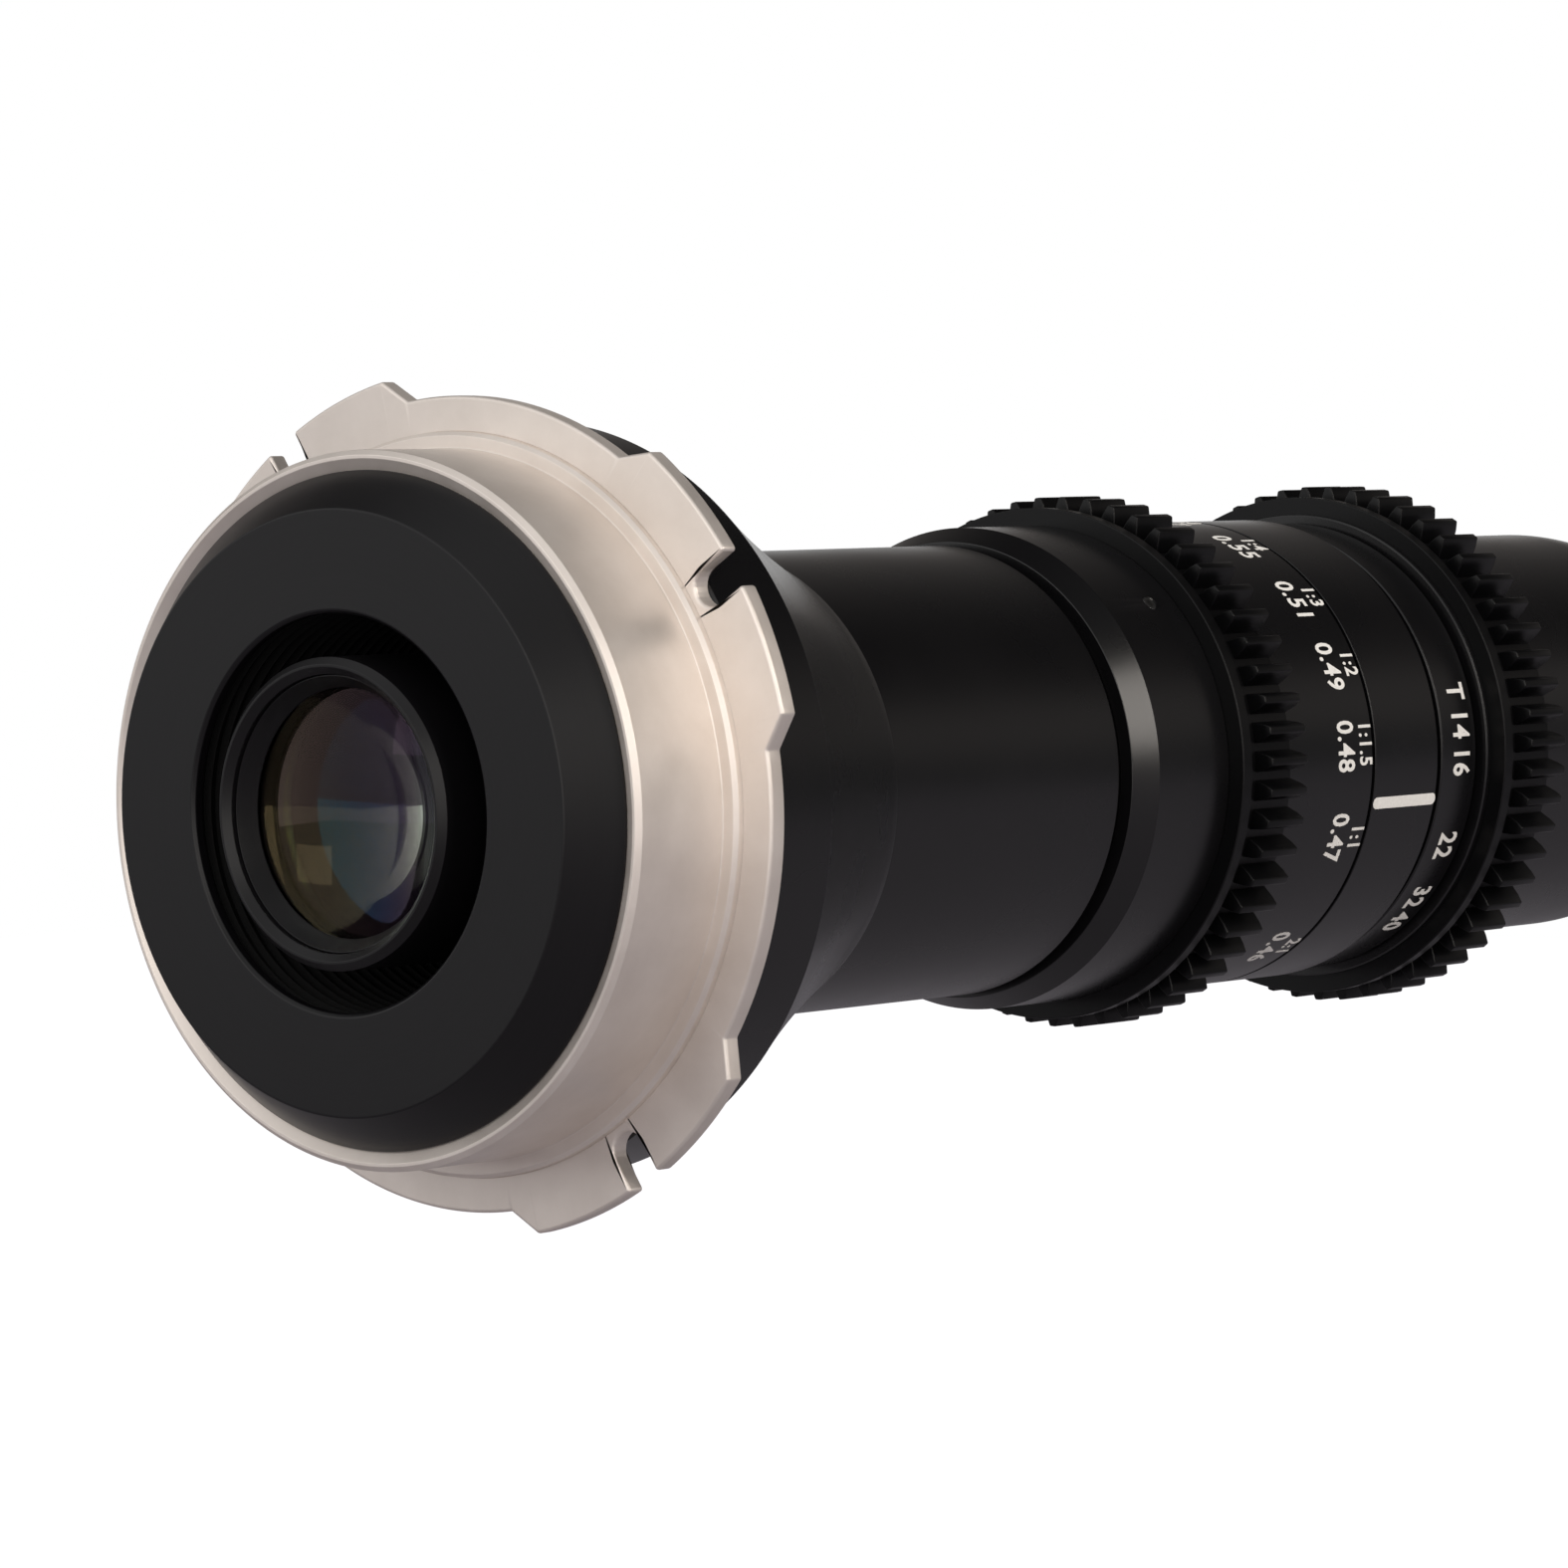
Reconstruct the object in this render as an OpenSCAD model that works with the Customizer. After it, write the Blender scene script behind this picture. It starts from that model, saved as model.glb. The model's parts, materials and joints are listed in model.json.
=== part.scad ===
// Probe macro lens for a camera with a 54 mm bayonet. Millimetres.
// The optical axis is +Y, +Z is up, and the origin is the centre of the flange's seat.
// Angles around the axis start at +X and grow towards -Z, which is a positive turn about +Y.

/* [Lens mount] */
// Radius of the pilot that enters the camera
pilot_r = 27; // [25:0.1:27.6]
// How far the pilot stands behind the flange's seat
pilot_len = 10.1; // [9:0.1:11]
// Wall of the pilot
pilot_wall = 2.4; // [2.2:0.1:3]
// Bevel on the pilot's rear edge
pilot_edge = 0.45; // [0.2:0.05:0.6]
// How far the low ring at the foot of the pilot stands out
seat_ring_w = 1.3; // [0.8:0.1:1.5]
// Height of that low ring
seat_ring_h = 0.8; // [0.4:0.1:1.2]
// How far the flange's tabs stand out past the pilot
tab_reach = 6; // [5.6:0.1:7]
// How far the scallops between the tabs go in
scallop_depth = 2; // [1:0.1:2.5]
// Thickness of the flange
flange_t = 1.6; // [1.2:0.1:2]
// Bevel on the flange's edges
flange_edge = 0.3; // [0.15:0.05:0.4]
// Number of tabs
tab_count = 4; // [3:1:5]
// Direction of the first tab's middle
tab_angle = 58; // [50:1:66]
// Angle that a scallop takes up at its foot
scallop_span = 41; // [34:1:46]
// Angle by which each side of a scallop leans out
scallop_lean = 4.2; // [2:0.2:6]
// Width of the locating notch in each tab
notch_w = 3; // [2:0.1:3.4]
// Depth of the locating notch
notch_depth = 4.1; // [3:0.1:4.2]
// Thickness that the flange's web adds behind the seat
web_t = 1.4; // [1:0.1:1.8]
// Number of screws that hold the mount
mount_screw_count = 6; // [4:1:8]
// Radius of a mount screw's thread
mount_screw_r = 1; // [0.8:0.05:1.2]
// Radius of its head
mount_screw_head_r = 1.9; // [1.7:0.05:2]
// Height of its head
mount_screw_head_h = 1.3; // [1:0.1:1.5]
// Length of its thread
mount_screw_len = 6; // [5:0.5:8]

/* [Rear guard] */
// How far the guard's face stands behind the pilot
guard_h = 3.3; // [2.8:0.1:4]
// How far the guard's rim lies inside the pilot's skin
guard_rim_step = 1.5; // [1.2:0.05:1.8]
// Width of the bevel from the rim to the flat face
guard_bevel_w = 2.85; // [2:0.05:4.5]
// Length of its bevel along the axis
guard_bevel_len = 3.6; // [3.4:0.1:3.7]
// How far the rim is let into the pilot
guard_rim_seat = 0.5; // [0.4:0.05:0.6]
// How far the lip around the opening covers the baffle
guard_lip_w = 0.4; // [0.2:0.05:1.5]
// Thickness of the lip around the opening
guard_lip_t = 1.1; // [0.8:0.1:1.5]
// Wall of the light baffle, at its crests
baffle_wall = 2; // [1.4:0.1:2.1]
// Spacing of the baffle's grooves
baffle_pitch = 1.2; // [0.8:0.1:2]
// Depth of the baffle's grooves
baffle_groove = 0.5; // [0.2:0.05:0.7]

/* [Cone] */
// How far the cone's rim lies inside the tabs
cone_rim_drop = 4; // [3.6:0.1:4.6]
// Length of the rim along the axis
cone_rim_len = 7.7; // [7:0.1:9]
// Length of the taper
cone_taper_len = 19.6; // [17:0.1:23]
// How far the end of the taper stands above the barrel
cone_foot_rise = 0.55; // [0.45:0.01:1]
// How far the taper is hollowed
cone_hollow = 0.4; // [0:0.1:0.8]
// Length of the small bevel that ends on the barrel
cone_bevel_len = 0.7; // [0.5:0.1:1]
// Thickness of the cone's rear wall
cone_wall = 1.8; // [1.4:0.1:2.4]

/* [Barrels] */
// How far the rear barrel's skin lies inside the pilot's
barrel_step = 8.43; // [8.2:0.01:8.7]
// Wall of the rear barrel on the guide barrel
rear_barrel_wall = 2.35; // [2.1:0.05:2.6]
// Wall of the rear barrel around the baffle
baffle_skin_t = 1.25; // [1:0.05:1.4]
// Length of the rear barrel that shows
rear_barrel_show = 29; // [24:0.5:34]
// Wall of the guide barrel
guide_wall = 1.6; // [1.3:0.1:1.8]
// How far the guide barrel starts ahead of the cone's rear wall
guide_seat_depth = 13.6; // [12:0.2:15]
// Thickness of the guide barrel's rear wall
guide_rear_wall = 4; // [3:0.5:4.5]
// Radius of the screws that pin the barrels together
barrel_screw_r = 0.8; // [0.6:0.05:0.9]
// Wall of the front barrel
front_barrel_wall = 1.78; // [1.4:0.02:2.2]
// Length of its straight stretch
front_barrel_len = 24.6; // [22:0.2:30]
// Radius of the arc that rounds its shoulder
shoulder_r = 27; // [22:0.5:32]
// Wall of the collar around the probe tube
collar_wall = 1.5; // [1.45:0.05:2]
// Length of the collar
collar_len = 2.8; // [2:0.1:4]

/* [Rear lens group] */
// Width of the well around the rear lens cell
well_w = 3.2; // [2.8:0.1:3.6]
// Wall of the rear lens cell
cell_wall = 1.3; // [1.24:0.02:1.6]
// How far the cell stands out past the guard's face
cell_stand = 1; // [0.5:0.1:1.5]
// Bevel around the cell's face
cell_edge = 0.55; // [0.3:0.05:0.6]
// Depth of the cell's mouth ahead of the retaining ring
cell_mouth = 0.9; // [0.6:0.1:1.2]
// Length of the retaining ring
rear_ring_len = 1.6; // [1.2:0.1:2]
// Width of the retaining ring
rear_ring_w = 1; // [0.8:0.05:1.5]
// Edge thickness of the rear lens
rear_lens_edge = 2.2; // [1.8:0.1:3]
// Length of the spacer ring behind it
rear_spacer_len = 3.4; // [3:0.1:5]
// Edge thickness of the second lens
second_lens_edge = 3.2; // [2.4:0.1:4]
// Width of the flat rim ground on every lens
lens_rim = 0.7; // [0.4:0.05:0.8]

/* [Focusing] */
// Wall of the focus ring
focus_wall = 2.38; // [2.2:0.02:2.8]
// How far the ring's rear bevel drops
focus_bevel_h = 1.15; // [0.8:0.05:1.3]
// Length of that bevel
focus_bevel_len = 2.2; // [1.6:0.1:3]
// Length of the ring from its bevel to its gear
focus_rear_len = 9.5; // [8:0.1:11]
// Width of the focus gear with its lip
focus_gear_w = 7.8; // [6.6:0.1:9]
// Length of the distance scale
scale_len = 12.9; // [12.6:0.1:15]
// Wall of the distance scale
scale_wall = 0.9; // [0.8:0.05:1]
// Wall of the cam barrel
cam_wall = 1.35; // [1.1:0.05:1.4]
// Radius of the followers on the lens carrier
follower_r = 1.5; // [1.3:0.05:1.6]
// Travel of the carrier for one whole turn of the ring
focus_lead = 18; // [16:0.5:20]
// Turn of the ring towards the near end of its scale
focus_turn_near = 47.5; // [30:0.5:60]
// Turn of the ring towards the far end of its scale
focus_turn_far = 142.5; // [100:0.5:150]
// Length of the lens carrier
carrier_len = 18; // [15:0.5:20]
// Wall of the carrier around the focusing lenses
carrier_wall = 3.53; // [3.1:0.01:4.5]
// Edge thickness of a focusing lens
focus_lens_edge = 2.6; // [2:0.1:3.4]
// Radius of the screws that join the ring to its cam
sleeve_screw_r = 0.7; // [0.5:0.05:0.8]

/* [Gears] */
// Module of both drive gears
gear_module = 0.8; // [0.78:0.01:0.82]
// How far the focus gear stands above the focus ring; the number of teeth follows
focus_gear_rise = 2.4; // [2:0.4:3.2]
// How far the iris gear stands above the focus ring; the number of teeth follows
iris_gear_rise = 2.8; // [2:0.4:3.6]
// Thickness of the lip beside each gear
gear_lip_t = 1.2; // [0.9:0.1:1.5]
// Width of the groove between the lip and the teeth
gear_lip_gap = 1.6; // [1.2:0.1:1.9]
// How far the lip stands below the tips of the teeth
gear_lip_drop = 0.9; // [0.4:0.1:1.2]
// Bevel on the ends of the teeth
gear_edge = 0.15; // [0.1:0.05:0.3]

/* [Index ring] */
// Gap between the focus ring and the index ring; the other gaps are two and four times it
ring_gap = 0.3; // [0.26:0.01:0.34]
// Length of the index ring
index_len = 9.4; // [9:0.1:11]
// Direction of the index line
index_angle = 12.5; // [0:0.5:25]
// Width of the index line
index_w = 1; // [0.8:0.1:1.4]
// Margin that the line keeps from the ring's edges
index_margin = 0.1; // [0.1:0.1:1]
// Bevel on the ring's edge towards the iris ring
index_edge = 0.2; // [0.1:0.05:0.3]
// Depth of the line's groove
index_depth = 0.2; // [0.1:0.05:0.4]

/* [Iris] */
// How far the band of the aperture scale lies below the focus ring
aperture_band_drop = 0.4; // [0.1:0.05:0.6]
// Length of that band
aperture_band_len = 5.1; // [4.8:0.1:5.6]
// How far the band starts behind the ring's edge, which widens the dark gap beside it
band_step_len = 0.5; // [0.2:0.1:0.8]
// Length of the groove beside the band
band_groove_len = 0.6; // [0.5:0.1:0.8]
// Depth of that groove
band_groove_depth = 0.8; // [0.4:0.1:1.2]
// How far the step between the groove and the gear stands above the focus ring
iris_step_rise = 0.4; // [0:0.1:0.8]
// Length of that step
iris_step_len = 0.6; // [0.5:0.1:1]
// Width of the iris gear with its lip
iris_gear_w = 8.1; // [7.6:0.1:9]
// Turn of the ring towards the widest aperture
iris_turn_open = 17.5; // [10:0.5:20]
// Turn of the ring towards the smallest aperture
iris_turn_shut = 38.5; // [30:0.5:40]
// Turn of a blade for one degree of the ring
blade_ratio = 0.3125; // [0.28:0.0025:0.33]
// How far the blades' pivots lie inside the bore of their housing
blade_pivot_step = 2.6; // [2.4:0.05:2.7]
// How far the blades' outer edge lies inside the circle of their pivots
blade_edge_step = 1.8; // [1.7:0.1:2.2]
// Width of a blade
blade_w = 4.6; // [4.2:0.1:5.2]
// Angle from a blade's pivot to its drive pin
blade_drive_angle = 32; // [29:0.5:33]
// Angle that a blade covers
blade_span = 142; // [130:1:150]
// Thickness of a blade
blade_t = 0.2; // [0.1:0.05:0.25]
// Spacing of the blades along the axis
blade_pitch = 0.3; // [0.28:0.01:0.35]
// Radius of the blades' pins
blade_pin_r = 0.5; // [0.4:0.05:0.6]
// Radius of the ear around each pin
blade_ear_r = 1.05; // [0.9:0.05:1.1]
// Thickness of the plate that carries the pivots
base_plate_t = 1.2; // [1:0.1:1.5]
// Thickness of the plate that drives the blades
drive_plate_t = 1.6; // [1.5:0.1:1.8]
// Thickness of the ring that keeps the plate in
cover_ring_t = 1.2; // [0.8:0.1:1.5]
// Radius of the pin that drives the plate
drive_pin_r = 0.6; // [0.5:0.05:0.65]
// Direction of that pin
drive_pin_angle = 200; // [190:1:215]

/* [Probe] */
// Outer radius of the probe tube
tube_r = 10; // [9.8:0.05:10.4]
// Wall of the probe tube
tube_wall = 0.8; // [0.7:0.05:0.9]
// How much the tube is turned down where the collar holds it
tube_seat_step = 0.2; // [0.1:0.05:0.3]
// Length of the tube that shows
tube_show = 212; // [150:1:240]
// Length of the tip past the tube
tip_len = 11.6; // [10.5:0.1:14]
// Space between the probe tube and the relay tube
relay_space = 2; // [1.8:0.05:2.2]
// Wall of the relay tube
relay_wall = 0.6; // [0.5:0.05:0.7]
// Thickness of the plate that holds the relay tube
holder_t = 4; // [3:0.1:5]
// Number of relay lenses
relay_count = 5; // [4:1:6]
// Edge thickness of a relay lens
relay_lens_edge = 5; // [4:0.5:6]
// Wall of the spacers between the relay lenses
relay_spacer_wall = 0.7; // [0.5:0.05:0.8]
// Thickness of the rings that centre the relay tube
tube_support_t = 3; // [2:0.5:4]
// Thickness of the seal rings
seal_t = 1.4; // [1.2:0.1:1.6]

/* [Tip] */
// How far the front lens cell lies inside the relay tube's skin
front_cell_step = 2.2; // [2:0.05:2.3]
// Wall of the front lens cell
front_cell_wall = 0.8; // [0.6:0.05:0.9]
// Wall of the tip's inner sleeve
tip_sleeve_wall = 0.78; // [0.6:0.02:0.98]
// Length of the spigot that enters the tube
spigot_len = 6; // [5.5:0.1:8]
// Depth of the light window behind the tip's face
window_depth = 0.3; // [0.1:0.05:0.5]
// Thickness of the light window
window_t = 1.6; // [1:0.1:2]
// Thickness of the light board
led_board_t = 1; // [0.8:0.1:1.2]
// Number of lights
led_count = 12; // [8:1:14]
// Length of a light's side
led_size = 1.8; // [1.4:0.1:2]
// Height of a light
led_h = 0.8; // [0.6:0.1:1]
// Edge thickness of the front lens
front_lens_edge = 1.4; // [1:0.1:1.8]
// Edge thickness of the lens behind it
front_second_edge = 2.6; // [2:0.1:3.2]
// Thickness of the lip that holds the front lens
front_lip_t = 0.4; // [0.3:0.05:0.6]

/* [Power socket] */
// Width of the socket
socket_w = 7.4; // [7:0.1:7.8]
// Height of the socket
socket_h = 2.8; // [2.6:0.1:3]
// Space between the socket's board and the relay tube
socket_room = 3.7; // [3.4:0.1:4.2]
// How far the socket sits below the barrel's skin
socket_sink = 0.6; // [0.4:0.1:0.8]
// Wall of the socket's shell
socket_wall = 0.3; // [0.25:0.05:0.4]
// Place of the socket past the front barrel's rear end
socket_place = 16; // [15:0.1:16.5]
// Width of the socket's board
board_w = 12; // [10:0.5:13]
// Length of the socket's board
board_len = 9; // [7:0.5:9]
// Thickness of the socket's board
board_t = 1; // [0.8:0.1:1.2]
// Radius of the two wires
wire_r = 0.35; // [0.25:0.05:0.4]

/* [Hidden] */
$fn = 96;

// Clearances: fixed fits, turning fits, ends of turning parts, and the overrun of every cut
fixed_gap = 0.02;
running_gap = 0.05;
end_gap = 0.05;
over = 1;
full_turn = 360;
blade_count = 7;

// Colours of the finishes
black_anodised = "#1b1b1d";
black_baffle = "#0c0c0d";
warm_nickel = "#b9b0a4";
coated_glass = [0.45, 0.6, 0.5, 0.5];
brass = "#b59a55";
screw_steel = "#6d6d70";
blade_black = "#242427";
white_paint = "#e9e7e2";
seal_rubber = "#151515";
board_green = "#1f4a33";

// Radii, from the pilot inwards: barrels, light trap and rear lens group
tab_r = pilot_r + tab_reach;
cone_rim_r = tab_r - cone_rim_drop;
pilot_bore_r = pilot_r - pilot_wall;
guard_rim_r = pilot_r - guard_rim_step;
guard_face_r = guard_rim_r - guard_bevel_w;
rear_barrel_r = pilot_r - barrel_step;
cone_foot_r = rear_barrel_r + cone_foot_rise;
mount_screw_circle = (rear_barrel_r + pilot_bore_r) / 2;
baffle_outer_r = rear_barrel_r - baffle_skin_t - fixed_gap;
web_bore_r = baffle_outer_r + ring_gap;
baffle_r = baffle_outer_r - baffle_wall;
guard_bore_r = baffle_r - guard_lip_w;
cell_r = guard_bore_r - well_w;
rear_lens_r = cell_r - cell_wall - fixed_gap;
rear_ring_r = rear_lens_r - rear_ring_w;

// Radii around the guide barrel: cam, focus ring, iris ring, gears, front barrel and blades
guide_r = rear_barrel_r - rear_barrel_wall - fixed_gap;
guide_bore_r = guide_r - guide_wall;
fixed_bore_r = guide_r + fixed_gap;
cam_bore_r = guide_r + running_gap;
cam_r = cam_bore_r + cam_wall;
sleeve_bore_r = cam_r + fixed_gap;
focus_r = sleeve_bore_r + focus_wall;
scale_seat_r = focus_r - scale_wall;
focus_teeth = round(2 * (focus_r + focus_gear_rise) / gear_module) - 2;
iris_teeth = round(2 * (focus_r + iris_gear_rise) / gear_module) - 2;
aperture_band_r = focus_r - aperture_band_drop;
iris_step_r = focus_r + iris_step_rise;
carrier_r = guide_bore_r - running_gap;
focus_lens_r = carrier_r - carrier_wall - fixed_gap;
blade_pivot_r = guide_bore_r - blade_pivot_step;
blade_band_r = blade_pivot_r - blade_edge_step;
iris_open_r = blade_band_r - blade_w;
front_barrel_r = fixed_bore_r + front_barrel_wall;

// Radii of the probe, from its tube inwards
collar_r = tube_r + collar_wall;
tube_bore_r = tube_r - tube_wall;
relay_r = tube_bore_r - relay_space;
front_cell_r = relay_r - front_cell_step;
tip_sleeve_r = front_cell_r + fixed_gap + tip_sleeve_wall;
socket_mouth_r = front_barrel_r - socket_sink;
socket_back_r = relay_r + socket_room + board_t;
socket_depth = socket_mouth_r - socket_back_r;

// Places along the axis, from the camera's side to the subject's
guard_y = -pilot_len - guard_h;
guard_rim_y = guard_y + guard_bevel_len;
guard_front_y = -web_t - mount_screw_head_h - 2 * ring_gap;
cone_rim_y = flange_t + cone_rim_len;
cone_foot_y = cone_rim_y + cone_taper_len;
cone_end_y = cone_foot_y + cone_bevel_len;
cone_floor_y = flange_t + cone_wall;
rear_barrel_end_y = cone_end_y + rear_barrel_show;
focus_y = rear_barrel_end_y + 4 * ring_gap;
focus_gear_y = focus_y + focus_bevel_len + focus_rear_len;
focus_end_y = focus_gear_y + focus_gear_w + scale_len;
index_y = focus_end_y + ring_gap;
index_end_y = index_y + index_len;
iris_y = index_end_y + 2 * ring_gap;
aperture_band_y = iris_y + band_step_len;
iris_step_y = aperture_band_y + aperture_band_len + band_groove_len;
iris_gear_y = iris_step_y + iris_step_len;
iris_end_y = iris_gear_y + iris_gear_w;
front_barrel_y = iris_end_y + 2 * ring_gap;
shoulder_y = front_barrel_y + front_barrel_len;
shoulder_drop = front_barrel_r - collar_r;
shoulder_len = sqrt(pow(shoulder_r, 2) - pow(shoulder_r - shoulder_drop, 2));
collar_y = shoulder_y + shoulder_len;
collar_end_y = collar_y + collar_len;
tube_end_y = collar_end_y + tube_show;
tip_y = tube_end_y + tip_len;

// A radius at which a dome over a flat rim of radius r rises by h
function dome_r(r, h) = (r * r + h * h) / (2 * h);

// A point at radius r and angle a
function polar(r, a) = [r * cos(a), r * sin(a)];

// Children drawn along +Z turn to lie along the optical axis, moved by y
module along_axis(y = 0) {
    rotate([-90, 0, 0]) translate([0, 0, y]) children();
}

// A body of revolution about the optical axis, from [radius, place] points
module turned(outline) {
    along_axis() rotate_extrude() polygon(outline);
}

// A plain ring between two radii and two places
module ring(inner, outer, y0, y1) {
    turned([[inner, y0], [outer, y0], [outer, y1], [inner, y1]]);
}

// Places the children, drawn along +X, at angle a and place y, pointing outwards
module radial(a, y) {
    along_axis(y) rotate(a) children();
}

// A round pin along the outward direction, between two radii
module radial_pin(r, inner, outer, a, y) {
    radial(a, y) translate([inner, 0, 0]) rotate([0, 90, 0]) cylinder(r = r, h = outer - inner);
}

// A flat pie slice between two angles, drawn past radius r
module slice(r, a0, a1) {
    steps = ceil((a1 - a0) / 15);
    reach = r / cos((a1 - a0) / steps / 2);
    polygon(concat([[0, 0]], [for (i = [0:steps]) polar(reach, a0 + (a1 - a0) * i / steps)]));
}

// A lens with flat rims at y0 and y1 and domes that rise, or sink when negative, by s0 and s1
module lens(r, y0, y1, s0, s1) {
    $fn = 240;
    clear_r = r - lens_rim;
    middle = (y0 + y1) / 2;
    difference() {
        union() {
            ring(0, r, y0, y1);
            if (s0 > 0) intersection() {
                along_axis(y0 - s0 + dome_r(clear_r, s0)) sphere(r = dome_r(clear_r, s0));
                ring(0, clear_r, y0 - s0 - over, middle);
            }
            if (s1 > 0) intersection() {
                along_axis(y1 + s1 - dome_r(clear_r, s1)) sphere(r = dome_r(clear_r, s1));
                ring(0, clear_r, middle, y1 + s1 + over);
            }
        }
        if (s0 < 0) along_axis(y0 - s0 - dome_r(clear_r, -s0)) sphere(r = dome_r(clear_r, -s0));
        if (s1 < 0) along_axis(y1 + s1 + dome_r(clear_r, -s1)) sphere(r = dome_r(clear_r, -s1));
    }
}

// Flange of the mount: a disc with scalloped gaps between its tabs and a notch in each
scallop_r = tab_r - scallop_depth;
module scallop_cut() {
    foot = scallop_span / 2;
    far_r = tab_r + over;
    lean = scallop_lean * (far_r - scallop_r) / scallop_depth;
    difference() {
        polygon([
            polar(scallop_r / 2, -foot), polar(scallop_r, -foot), polar(far_r, -foot - lean),
            polar(far_r / cos(foot), 0), polar(far_r, foot + lean), polar(scallop_r, foot),
            polar(scallop_r / 2, foot)
        ]);
        circle(r = scallop_r);
    }
}

module notch_cut() {
    bottom = tab_r - notch_depth + notch_w / 2;
    translate([bottom, 0]) circle(r = notch_w / 2);
    translate([bottom, -notch_w / 2]) square([notch_depth + over, notch_w]);
}

module mount_ring() color(warm_nickel) {
    rim_seat_r = guard_rim_r + fixed_gap;
    ring_r = pilot_r + seat_ring_w;
    bevel = flange_edge;
    difference() {
        turned([
            [web_bore_r, -web_t], [pilot_bore_r, -web_t], [pilot_bore_r, -pilot_len + guard_rim_seat],
            [rim_seat_r, -pilot_len + guard_rim_seat], [rim_seat_r, -pilot_len],
            [pilot_r - pilot_edge, -pilot_len], [pilot_r, -pilot_len + pilot_edge],
            [pilot_r, -seat_ring_h], [ring_r - bevel, -seat_ring_h], [ring_r, -seat_ring_h + bevel],
            [ring_r, 0], [tab_r - bevel, 0], [tab_r, bevel], [tab_r, flange_t - bevel],
            [tab_r - bevel, flange_t], [web_bore_r, flange_t]
        ]);
        for (i = [0:tab_count - 1]) along_axis(-over) rotate(tab_angle + i * full_turn / tab_count) {
            linear_extrude(flange_t + 2 * over) notch_cut();
            rotate(full_turn / tab_count / 2) linear_extrude(flange_t + 2 * over) scallop_cut();
        }
        for (i = [0:mount_screw_count - 1])
            radial(i * full_turn / mount_screw_count, -web_t - over) translate([mount_screw_circle, 0, 0])
                cylinder(r = mount_screw_r + running_gap, h = web_t + flange_t + 2 * over);
    }
}

// Socket-head screws, with their heads towards the camera
module mount_screws() color(screw_steel) {
    key_r = mount_screw_head_r * 0.45;
    for (i = [0:mount_screw_count - 1])
        radial(i * full_turn / mount_screw_count, -web_t) translate([mount_screw_circle, 0, 0]) difference() {
            union() {
                translate([0, 0, -mount_screw_head_h])
                    cylinder(r = mount_screw_head_r, h = mount_screw_head_h);
                cylinder(r = mount_screw_r, h = web_t + flange_t + mount_screw_len);
            }
            translate([0, 0, -mount_screw_head_h - over])
                cylinder(r = key_r, h = mount_screw_head_h / 2 + over, $fn = 6);
        }
}

module rear_guard_ring() color(black_anodised) {
    edge = guard_lip_t / 4;
    baffle_seat_r = baffle_outer_r + fixed_gap;
    thread_r = pilot_bore_r - fixed_gap;
    turned([
        [guard_bore_r + edge, guard_y], [guard_face_r, guard_y], [guard_rim_r, guard_rim_y],
        [guard_rim_r, -pilot_len + guard_rim_seat], [thread_r, -pilot_len + guard_rim_seat],
        [thread_r, guard_front_y], [baffle_seat_r, guard_front_y], [baffle_seat_r, guard_y + guard_lip_t],
        [guard_bore_r, guard_y + guard_lip_t], [guard_bore_r, guard_y + edge]
    ]);
}

// Light trap: a tube whose bore is cut with sharp grooves
guide_y = cone_floor_y + guide_seat_depth;
baffle_end_y = guide_y - ring_gap;
module rear_baffle() color(black_baffle) {
    start = guard_y + guard_lip_t;
    grooves = floor((baffle_end_y - start) / baffle_pitch);
    turned(concat(
        [[baffle_outer_r, baffle_end_y], [baffle_outer_r, start]],
        [for (i = [0:grooves - 1]) each [
            [baffle_r, start + i * baffle_pitch],
            [baffle_r + baffle_groove, start + (i + 0.75) * baffle_pitch]
        ]],
        [[baffle_r, start + grooves * baffle_pitch], [baffle_r, baffle_end_y]]
    ));
}

// The black cone between the mount and the barrel
module mount_cone() color(black_anodised) {
    steps = 8;
    edge = cone_rim_len / 24;
    bore_r = rear_barrel_r + fixed_gap;
    taper = [for (i = [0:steps]) let (t = i / steps) [
        cone_rim_r + (cone_foot_r - cone_rim_r) * t - 4 * cone_hollow * t * (1 - t),
        cone_rim_y + cone_taper_len * t
    ]];
    difference() {
        turned(concat(
            [[web_bore_r, flange_t], [cone_rim_r - edge, flange_t], [cone_rim_r, flange_t + edge]],
            taper,
            [[bore_r + edge, cone_end_y], [bore_r, cone_end_y],
             [bore_r, cone_floor_y], [web_bore_r, cone_floor_y]]
        ));
        for (i = [0:mount_screw_count - 1])
            radial(i * full_turn / mount_screw_count, flange_t - over) translate([mount_screw_circle, 0, 0])
                cylinder(r = mount_screw_r, h = mount_screw_len + 2 * over);
    }
}

// Rear barrel, wide at the back for the baffle and fitted on the guide barrel ahead of it
barrel_screw_turns = [for (i = [0:2]) 30 + i * full_turn / 3];
barrel_screw_y = guide_y + guide_rear_wall * 1.6;
module rear_barrel() color(black_anodised) {
    wide_r = baffle_outer_r + fixed_gap;
    edge = (rear_barrel_r - fixed_bore_r) / 8;
    difference() {
        turned([
            [wide_r, cone_floor_y], [rear_barrel_r, cone_floor_y], [rear_barrel_r, rear_barrel_end_y - edge],
            [rear_barrel_r - edge, rear_barrel_end_y], [fixed_bore_r, rear_barrel_end_y],
            [fixed_bore_r, guide_y], [wide_r, guide_y]
        ]);
        for (a = barrel_screw_turns)
            radial_pin(barrel_screw_r, guide_bore_r, rear_barrel_r + over, a, barrel_screw_y);
    }
}

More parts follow.
